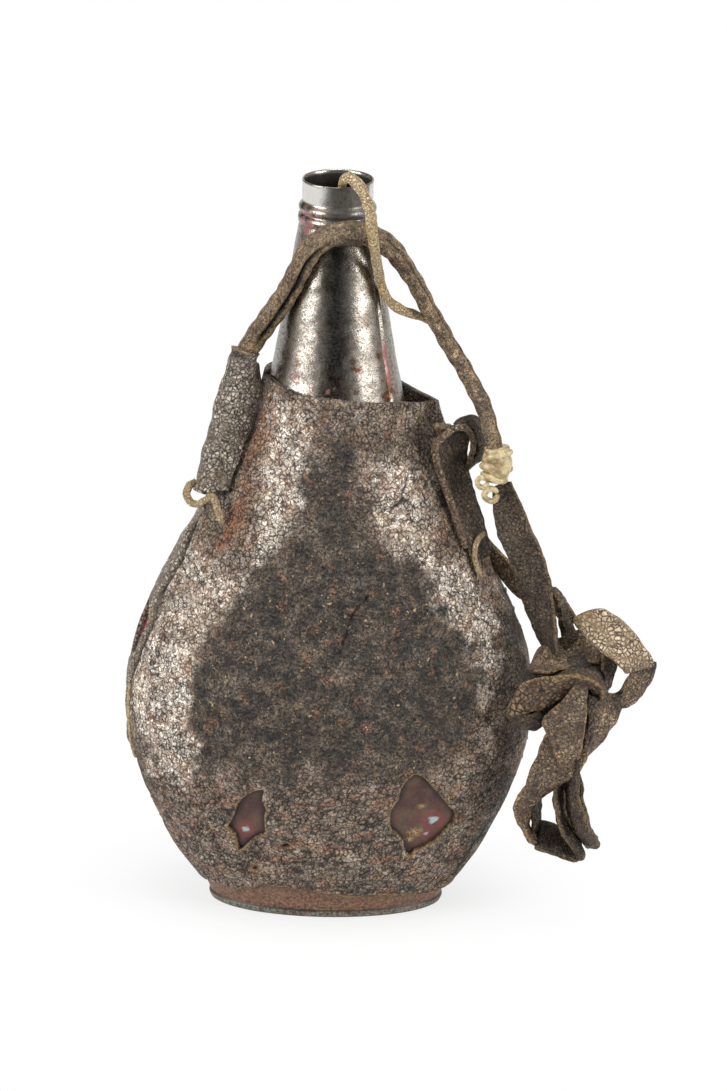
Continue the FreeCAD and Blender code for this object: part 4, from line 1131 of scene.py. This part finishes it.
FLAP_TOP = (((89, -38, 99.5), (92, -36.5, 100)), ((84.5, -40, 92), (92.5, -39, 92.5)),
            ((78.5, -39.5, 87), (92, -40, 83)), ((75.5, -38.5, 82.5), (91.5, -38.5, 74)),
            ((78.5, -38, 77), (90, -37.5, 69.5)), ((81, -37.5, 71), (88, -37, 68)),
            ((83.5, -37, 65), (87.5, -36.5, 65)))
LEFT_ROLL = (((71.5, -20, 95), (72.5, -34, 99.5)), ((73.5, -18.5, 101.5), (74, -34.5, 100.5)),
             ((78, -18, 105.5), (79, -34.5, 100)), ((83.5, -17, 107.5), (84, -32, 100.5)),
             ((89, -16, 110), (90, -30, 101.5)), ((95, -16, 111), (97, -28, 102)),
             ((99, -18, 108), (100, -28, 100)))
WRAP = (((80, -23, 96.5), (81.5, -37, 97)), ((88, -24, 101), (87, -38, 99.5)),
        ((96.5, -24.5, 101.5), (92.5, -37.5, 99)), ((100, -22, 96.5), (97.5, -36, 95)),
        ((100, -18, 88), (98, -32, 89)))
LEAF = (((63.5, -31, 82.5), (64.5, -31, 81)), ((66, -33, 90.5), (70.5, -35, 84.5)),
        ((69.5, -37, 98), (76, -35, 85.5)), ((77, -41.5, 101), (82.5, -34.5, 90.5)),
        ((86, -43.5, 102), (88, -34.5, 94.5)), ((93, -42, 100.5), (92.5, -34, 95)),
        ((98, -39, 96), (94.5, -31, 92)), ((98, -35.5, 90), (94.5, -26.5, 87.5)))
LOW_FOLD = (((64.5, -31, 84), (65.5, -24, 78)), ((67.5, -33.5, 83), (67.5, -25.5, 75)),
            ((73.5, -33.5, 84), (72.5, -26.5, 74.5)), ((78.5, -32.5, 87.5), (78, -26, 77)))
LOW_CURL = (((64.5, -31, 86), (64.5, -28, 82)), ((67.5, -32.5, 87.5), (67, -29.5, 84.5)),
            ((73.5, -33.5, 88.5), (73.5, -30, 85.5)), ((79, -33.5, 91), (79, -30, 88)))
FLAP = (((86.5, -36, 93), (93, -26, 91)), ((84.5, -37, 87.5), (94, -29, 83.5)),
        ((80, -36, 80.5), (94, -32, 75.5)), ((77, -33, 75), (93.5, -35, 68.5)),
        ((75.5, -31.5, 68.5), (90.5, -34.5, 61)), ((72.5, -34, 63), (83.5, -30, 55.5)),
        ((71, -34.5, 56.5), (79, -27.5, 51)), ((67.5, -34, 49.5), (74, -26, 46.5)),
        ((67, -32.5, 45), (73, -23.5, 40)), ((70, -30.5, 39), (74.5, -21.5, 33)),
        ((74, -29, 33), (77.5, -19, 27.5)))
LOW_LOOP = (((77.5, -15, 36.5), (75, -25, 28.5)), ((84, -14, 35), (83, -22, 25)),
            ((89, -13, 30), (90.5, -23, 23.5)), ((90.5, -15.5, 25), (95, -26.5, 26)),
            ((85.5, -30.5, 34.5), (91, -19.5, 32.5)), ((82.5, -31.5, 44.5), (86.5, -20.5, 42.5)),
            ((81.5, -32.5, 55), (85.5, -21.5, 52.5)), ((81.5, -32.5, 65), (85.5, -21.5, 62.5)))
SECOND_LOOP = (((85.5, -26, 64), (90, -36, 68)), ((85.5, -26, 54), (90, -36, 58)),
               ((87, -26, 44), (91.5, -36, 49)), ((89.5, -24, 36.5), (94.5, -34, 40.5)),
               ((93, -21, 30), (98, -31, 35.5)), ((95, -16, 26), (98.5, -26, 31)),
               ((92, -12, 29), (96, -22, 34)), ((88, -12, 43.5), (92, -22, 47.5)),
               ((86, -14, 57.5), (90, -24, 62)))
SIDE_BAND = (((94, -33, 93.5), (105.5, -25, 86.5)), ((94.5, -34, 88), (105, -25, 84)),
             ((93.5, -34, 81.5), (103.5, -26, 79)), ((92, -34, 75.5), (98.5, -28, 72.5)),
             ((90, -34, 69), (94.5, -30, 67.5)), ((89, -34, 67), (92, -31, 66)))
MID_STRIP = (((91.5, -36, 93), (96, -34.5, 91)), ((92.5, -37, 85.5), (96, -35, 85)),
             ((92, -37, 78.5), (95.5, -35, 77)), ((90.5, -37, 71.5), (93, -35, 70)))
LEFT_RISER = (((74, -27, 50.5), (77, -17, 47)), ((74, -26, 40), (77.5, -16, 36.5)),
              ((74.5, -25, 31.5), (77.5, -15, 26.5)))

# Each band: its finish, its seed, and how deep in shadow its two ends lie
BANDS = (("top_loop", TOP_LOOP, STRAP_PEBBLE, 3, 0.0, 0.3),
         ("inner_plate", INNER_PLATE, STRAP_DARK, 13, 0.5, 0.8),
         ("top_return", TOP_RETURN, STRAP, 18, 0.9, 0.85), ("neck_fold", NECK_FOLD, STRAP_DARK, 14, 0.0, 0.7),
         ("left_roll", LEFT_ROLL, STRAP, 4, 0.2, 0.5), ("wrap", WRAP, STRAP_DARK, 5, 0.5, 0.0),
         ("leaf", LEAF, STRAP_CRACKED, 6, 0.0, 0.0), ("low_fold", LOW_FOLD, STRAP_DARK, 7, 0.0, 0.6),
         ("low_curl", LOW_CURL, STRAP, 15, 0.0, 0.7), ("flap", FLAP, STRAP, 8, 0.0, 0.0),
         ("flap_top", FLAP_TOP, STRAP, 16, 0.0, 0.0), ("low_loop", LOW_LOOP, STRAP_DARK, 9, 0.0, 0.7),
         ("second_loop", SECOND_LOOP, STRAP_DARK, 10, 0.7, 0.6),
         ("side_band", SIDE_BAND, STRAP, 11, 0.5, 0.2), ("mid_strip", MID_STRIP, STRAP_DARK, 17, 0.6, 0.2),
         ("left_riser", LEFT_RISER, STRAP_DARK, 12, 0.7, 0.1))
for name, stations, finish, seed, shade_start, shade_end in BANDS:
    piece = band("bundle_" + name, stations, finish, seed=seed, step_mm=0.6, wrinkle=0.6,
                 across=19, shade_start=shade_start, shade_end=shade_end)
    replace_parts(piece, "strap_bundle")


def lump(name, middle, sizes, seed):
    """A rounded mass of folded leather, in shadow."""
    rows, columns = 40, 64
    pole = np.pi / 2 - 0.01
    up = np.linspace(-pole, pole, rows)[:, None]
    turn = np.linspace(0, 2 * np.pi, columns, endpoint=False)[None, :]
    ball = np.stack([np.cos(up) * np.cos(turn), np.cos(up) * np.sin(turn), np.sin(up) * np.ones_like(turn)],
                    -1).reshape(-1, 3)
    verts = ball * np.array(sizes) + np.array(middle)
    verts = verts + ball * (noise_at(verts, 5.0, seed) * 0.9)[:, None]
    marks = {"shade": np.full(len(verts), 0.7), "edge": np.zeros(len(verts))}
    return piece_from(name, verts, capped_faces(rows, columns), STRAP_DARK, marks)


CORES = (((89, -27, 92), (9.5, 7, 12)), ((77, -26, 90), (8.5, 6.5, 10)), ((83, -28, 80), (6, 5, 9)))
for number, (middle, sizes) in enumerate(CORES):
    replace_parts(lump("bundle_core_%d" % (number + 1), middle, sizes, 5 + number), "strap_bundle")


# Sleeve, tab, knot, ties and stitches

SLEEVE_LINE = ((-31.6, -7, 209.5), (-33.3, -8, 203.5), (-37.6, -10.5, 190), (-41.3, -12.5, 175.5),
               (-45.6, -14.2, 158.5))
FLANGE = ((203.5, 6.0), (198.0, 10.0), (190.0, 11.0), (175.5, 10.0), (160.0, 8.5))
TAB = (((37, -14.5, 184.5), (47.5, -11, 185)), ((36, -15, 180.5), (48.5, -10.5, 180.5)),
       ((37.5, -13.5, 171), (46.8, -6, 172)), ((39, -12.5, 163), (48, -5.5, 166)),
       ((42, -13.5, 155), (49.8, -6, 158.5)), ((45.5, -15, 147), (52.6, -7, 151)),
       ((48.5, -16.5, 139), (55.8, -8.5, 143.5)), ((50, -16.5, 132), (56.5, -10, 136.5)))
COVER_TONGUE = (((38.5, -15.2, 11), (39.5, -15.7, 8.4)), ((43, -12.2, 12.8), (44, -13.2, 9.2)),
                ((46.6, -9.5, 16.6), (47.8, -10.5, 13.8)))
TAB_FOLD = (((42.5, -9, 184.5), (44, -13, 184.5)), ((45.5, -7, 186.5), (46.5, -12, 184.5)),
            ((51, -5, 186.5), (49, -11, 182.5)), ((56, -4, 182), (50.5, -10, 179.5)),
            ((57, -4, 176), (51, -10, 176)), ((54.5, -5, 170.5), (50, -10, 172.5)),
            ((51, -7, 168.5), (48.5, -10, 170)), ((48.5, -9, 166.5), (47.5, -10, 168.5)))
# The tab's rolled edges: points and radius
TAB_ROLLS = (("tab_hem", ((42.5, -15.5, 184), (38.8, -16.8, 182), (36.2, -16.8, 178.5), (36.3, -16.5, 175),
                          (38, -15.8, 168), (41, -15.3, 160.5), (43.3, -15.8, 154), (45.5, -16.8, 147),
                          (48, -17.8, 140.5)), 1.35),
             ("tab_end", ((35.5, -14.5, 184.5), (38.5, -15.2, 185), (42, -14.5, 184.3)), 1.3),
             ("tab_arch", ((42.5, -15.8, 184.3), (45.7, -14.8, 185.3), (48.3, -13, 183), (50, -11, 178.5),
                           (49.8, -9.5, 173.5), (48.3, -8.5, 168.5)), 1.2))
LEFT_TIE = ((-39.3, -22, 149.5), (-40.8, -22.3, 155), (-42.6, -21.5, 160.3), (-45.8, -20.5, 157),
            (-49, -19, 155), (-52, -17, 157), (-52, -14.5, 160.5), (-49, -12, 162))
RIGHT_TIE = ((54.5, -12.5, 144.8), (52, -16.2, 143.5), (51, -17.4, 139), (51.6, -18, 134.5),
             (53.8, -17.4, 129.5))
KNOT_TURNS = ((((62.8, -14, 175.8), (61.5, -20.5, 176.8), (57, -21.8, 176), (53.9, -19.5, 174.5)), 1.35),
              (((63.2, -15, 170.5), (61, -21, 169.5), (57.5, -22.2, 172), (54.2, -20.8, 172.5),
                (53.2, -17, 171)), 1.45),
              (((61, -13, 166.8), (61.5, -19.5, 166.2), (58.5, -22, 167.3), (55, -22, 168.8),
                (53.2, -19, 169)), 1.3))
KNOT_RINGS = (((53.2, -22, 166.6), 1.9, 1.05), ((56.4, -22, 162), 2.4, 1.15))


def thong(name, points, radius, node, material=LACE, seed=1.0, dim=0.0):
    """A short length of thong, not quite round."""
    def cross(share, angle, along):
        reach = radius * (1 + 0.1 * np.cos(2 * angle + seed) + 0.07 * np.sin(along * 1.7 + angle))
        reach = reach * (1 - 0.35 * np.exp(-(share / 0.05) ** 2) - 0.35 * np.exp(-((1 - share) / 0.05) ** 2))
        return reach, np.full_like(reach, dim), np.exp(-((angle - 2.0) / 0.8) ** 2) * 0.5
    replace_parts(tube(name, points, cross, material, step_mm=0.4, around=24), node)


def sleeve_tube(share, angle, along):
    """The tube part of the sleeve, crushed a little at its upper end where the strap goes in."""
    reach = 5.5 - 1.2 * share + 0.25 * np.sin(share * 17 + angle) + 0.18 * np.sin(share * 41 + 2 * angle)
    crease = np.exp(-((share - 0.035) / 0.03) ** 2)
    crease = crease + 0.6 * np.exp(-((share - 0.12 - 0.03 * np.sin(angle * 2)) / 0.02) ** 2)
    reach = reach - crease * 0.55
    shade = np.clip(crease * 0.8 * np.clip(np.sin(angle + 0.6), 0.2, 1), 0, 1)
    return reach, shade, np.exp(-(share / 0.012) ** 2) * 0.8


sleeve_leather = tube("sleeve_leather", SLEEVE_LINE, sleeve_tube, SLEEVE, step_mm=0.6)
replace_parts(sleeve_leather, "strap_sleeve")
flange_stations = []
for z, reach in FLANGE:
    x = float(straight_table([(spot[2], spot[0]) for spot in SLEEVE_LINE], z))
    y = float(straight_table([(spot[2], spot[1]) for spot in SLEEVE_LINE], z))
    rim_x = x + reach
    width, depth = section(z, LEATHER)
    rim_y = -depth * math.sqrt(max(0.0, 1 - (rim_x / width) ** 2)) - 1.6
    flange_stations.append(((x + 1.5, y - 3.2, z), (rim_x, rim_y, z)))
flange = band("sleeve_flange", flange_stations, SLEEVE, step_mm=0.6, seed=31, wrinkle=0.4)
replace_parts(flange, "strap_sleeve")
for number, (near, far) in enumerate(zip(flange_stations[1:], flange_stations[2:])):
    for part, share in enumerate((0.25, 0.8)):
        ends = []
        for spot in (share - 0.09, share + 0.09):
            inner = np.array(near[0]) * (1 - spot) + np.array(far[0]) * spot
            outer = np.array(near[1]) * (1 - spot) + np.array(far[1]) * spot
            ends.append(inner * 0.45 + outer * 0.55 + np.array((0, -1.5, 0)))
        middle = (ends[0] + ends[1]) / 2
        points = [ends[0] + (0, 1.0, 0), middle + (0, -0.3, 0), ends[1] + (0, 1.0, 0)]
        name = "sleeve_stitch_%d" % (2 * number + part + 1)
        thong(name, points, 1.15, "sleeve_stitches", SLEEVE, number)

thong("tie_left", LEFT_TIE, 1.35, "left_tie", dim=0.1)
thong("tie_right", RIGHT_TIE, 0.95, "right_tie", dim=0.1)
tab = band("tab", TAB, STRAP_DARK, curl=1.0, seed=21, wrinkle=0.5, shade_start=0.6)
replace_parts(tab, "right_tab")
for number, (name, points, radius) in enumerate(TAB_ROLLS):
    thong(name, points, radius, "right_tab", STRAP, 2 + number)
tongue = band("cover_tongue", COVER_TONGUE, COVER, thick=2.6, seed=41)
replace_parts(tongue, "jacket_front")
tab_fold = band("tab_fold", TAB_FOLD, STRAP_DARK, seed=22, wrinkle=0.45, shade_start=0.3)
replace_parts(tab_fold, "tab_loop")


def collar_cross(share, angle, along):
    """The knot's collar: a short barrel with a lip."""
    reach = 4.2 + 1.1 * np.sin(np.pi * np.clip(share * 1.1, 0, 1)) + 0.2 * np.sin(2 * angle + 9 * share)
    lip = np.exp(-(share / 0.07) ** 2)
    return reach + 0.3 * lip, np.exp(-((share - 0.12) / 0.04) ** 2) * 0.35, np.zeros_like(reach)


KNOT_LINE = ((58.3, -17, 178.3), (58.5, -17, 172.5), (58.4, -17, 166))
knot = tube("knot_collar", KNOT_LINE, collar_cross, RAWHIDE, step_mm=0.3, around=64)
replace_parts(knot, "rawhide_knot")
for number, (points, radius) in enumerate(KNOT_TURNS):
    thong("knot_turn_%d" % (number + 1), points, radius, "rawhide_knot", RAWHIDE, seed=number)
for number, (middle, size, radius) in enumerate(KNOT_RINGS):
    x, y, z = middle
    loop = [(x + size * math.cos(turn), y + 0.5 * math.sin(2 * turn), z + size * math.sin(turn))
            for turn in np.linspace(0.3, 2 * math.pi + 0.1, 11)]
    thong("knot_loop_%d" % (number + 1), loop, radius, "rawhide_knot", RAWHIDE, seed=number)


# Left seam

LIP_WIDE = 2.6


def left_strip():
    """The folded strip that shows in the open left seam: a gap beside the cover with painted shade on its
    wall, a raised lip, and the strip's face with a crack along it, painted with shade."""
    heights = np.linspace(STRIP_BOTTOM, STRIP_TOP, 200)
    columns = 34
    share = np.linspace(0, 1, columns)
    rows = []
    shade = []
    edge = []
    for z in heights:
        ends = float(step(STRIP_BOTTOM, STRIP_BOTTOM + 10, z) * (1 - step(STRIP_TOP - 8, STRIP_TOP, z)))
        front_depth = float(straight_table(SEAM_LINE, z)) + 0.6
        gap_wide = 0.8 + 1.3 * float(step(108, 124, z)) * ends
        bare = float(step(BARE_BOTTOM - 4, BARE_BOTTOM + 4, z) * (1 - step(BARE_TOP - 4, BARE_TOP + 4, z)))
        back_depth = -2.0 * (1 - bare) + (front_depth - gap_wide - 4.2) * bare
        depth = front_depth + (back_depth - front_depth) * share
        past = front_depth - depth
        in_gap = 1 - step(gap_wide - 0.5, gap_wide + 0.3, past)
        on_lip = np.exp(-((past - gap_wide - 0.5 * LIP_WIDE) / (0.5 * LIP_WIDE)) ** 2)
        crease = np.exp(-((past - gap_wide - LIP_WIDE - 1.0) / 0.35) ** 2)
        lift = 0.55 * ends - in_gap * 2.0 + on_lip * 1.1 * ends - crease * 0.7
        a, b = section(z, LEATHER - 0.3 + lift)
        angles = np.arccos(np.clip(depth / b, -1, 1))
        rows.append(np.stack([-a * np.sin(angles), -b * np.cos(angles), np.full(columns, z)], -1))
        wall = 1 - step(gap_wide - 0.2, gap_wide + 0.3, past)
        shade.append(np.clip(wall * 0.97 + crease * 0.6, 0, 1))
        edge.append(np.clip(on_lip * 0.25 + np.exp(-((1 - share) / 0.03) ** 2) * 0.4, 0, 1))
    verts = np.concatenate(rows)
    outward = unit(verts * np.array([1.0, 2.0, 0.0]))
    verts = verts + outward * (noise_at(verts, 6.0, 3) * 0.5 + noise_at(verts, 2.2, 6) * 0.2)[:, None]
    inner = verts - outward * 1.4
    count = len(heights)
    total = len(verts)
    faces = grid_faces(count, columns)
    faces += [tuple(reversed(face)) for face in grid_faces(count, columns, start=total)]
    for row in range(count - 1):
        for column in (0, columns - 1):
            here = row * columns + column
            above = here + columns
            faces.append((here, above, above + total, here + total))
    marks = {"edge": np.tile(np.concatenate(edge), 2), "shade": np.tile(np.concatenate(shade), 2)}
    return piece_from("seam_strip", np.concatenate([verts, inner]), faces, SLEEVE, marks)


seam_strip = left_strip()
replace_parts(seam_strip, "left_seam_strip")
piping = []
for z in (84, 79, 73, 66, 60, 54):
    depth = float(straight_table(SEAM_LINE, z)) - 0.8
    width, half_depth = section(z, LEATHER)
    piping.append((-width * math.sqrt(1 - (depth / half_depth) ** 2), -depth, z))
thong("seam_piping", piping, 1.0, "left_seam_strip", seed=5)


def seam_threads(node, heights, side):
    """Short threads sewn flat across a side seam."""
    for number, z in enumerate(heights):
        width, half_depth = section(z, LEATHER)
        if side > 0:
            depth = 0.0
            reach = width + EAR_REACH * float(step(EAR_FOOT, EAR_TOP, z)) + 0.1
        else:
            depth = -float(straight_table(SEAM_LINE, z))
            reach = -width * math.sqrt(1 - (depth / half_depth) ** 2) - 0.1
        points = [(reach - side * 0.5, depth - 2.3, z), (reach - side * 0.05, depth, z + 0.2),
                  (reach - side * 0.5, depth + 2.3, z)]
        thong("%s_%d" % (node, number + 1), points, 0.5, node, THREAD, number)


seam_threads("seam_stitches_left", (24.0, 31.0, 38.0), -1)
seam_threads("seam_stitches_right", np.arange(35.0, 121.0, 7.0), 1)


# Free cords: their lines

# Cords and the end

strap_line = route(NECK_STRAP_POINTS)
lace_line = route(LACE_POINTS)
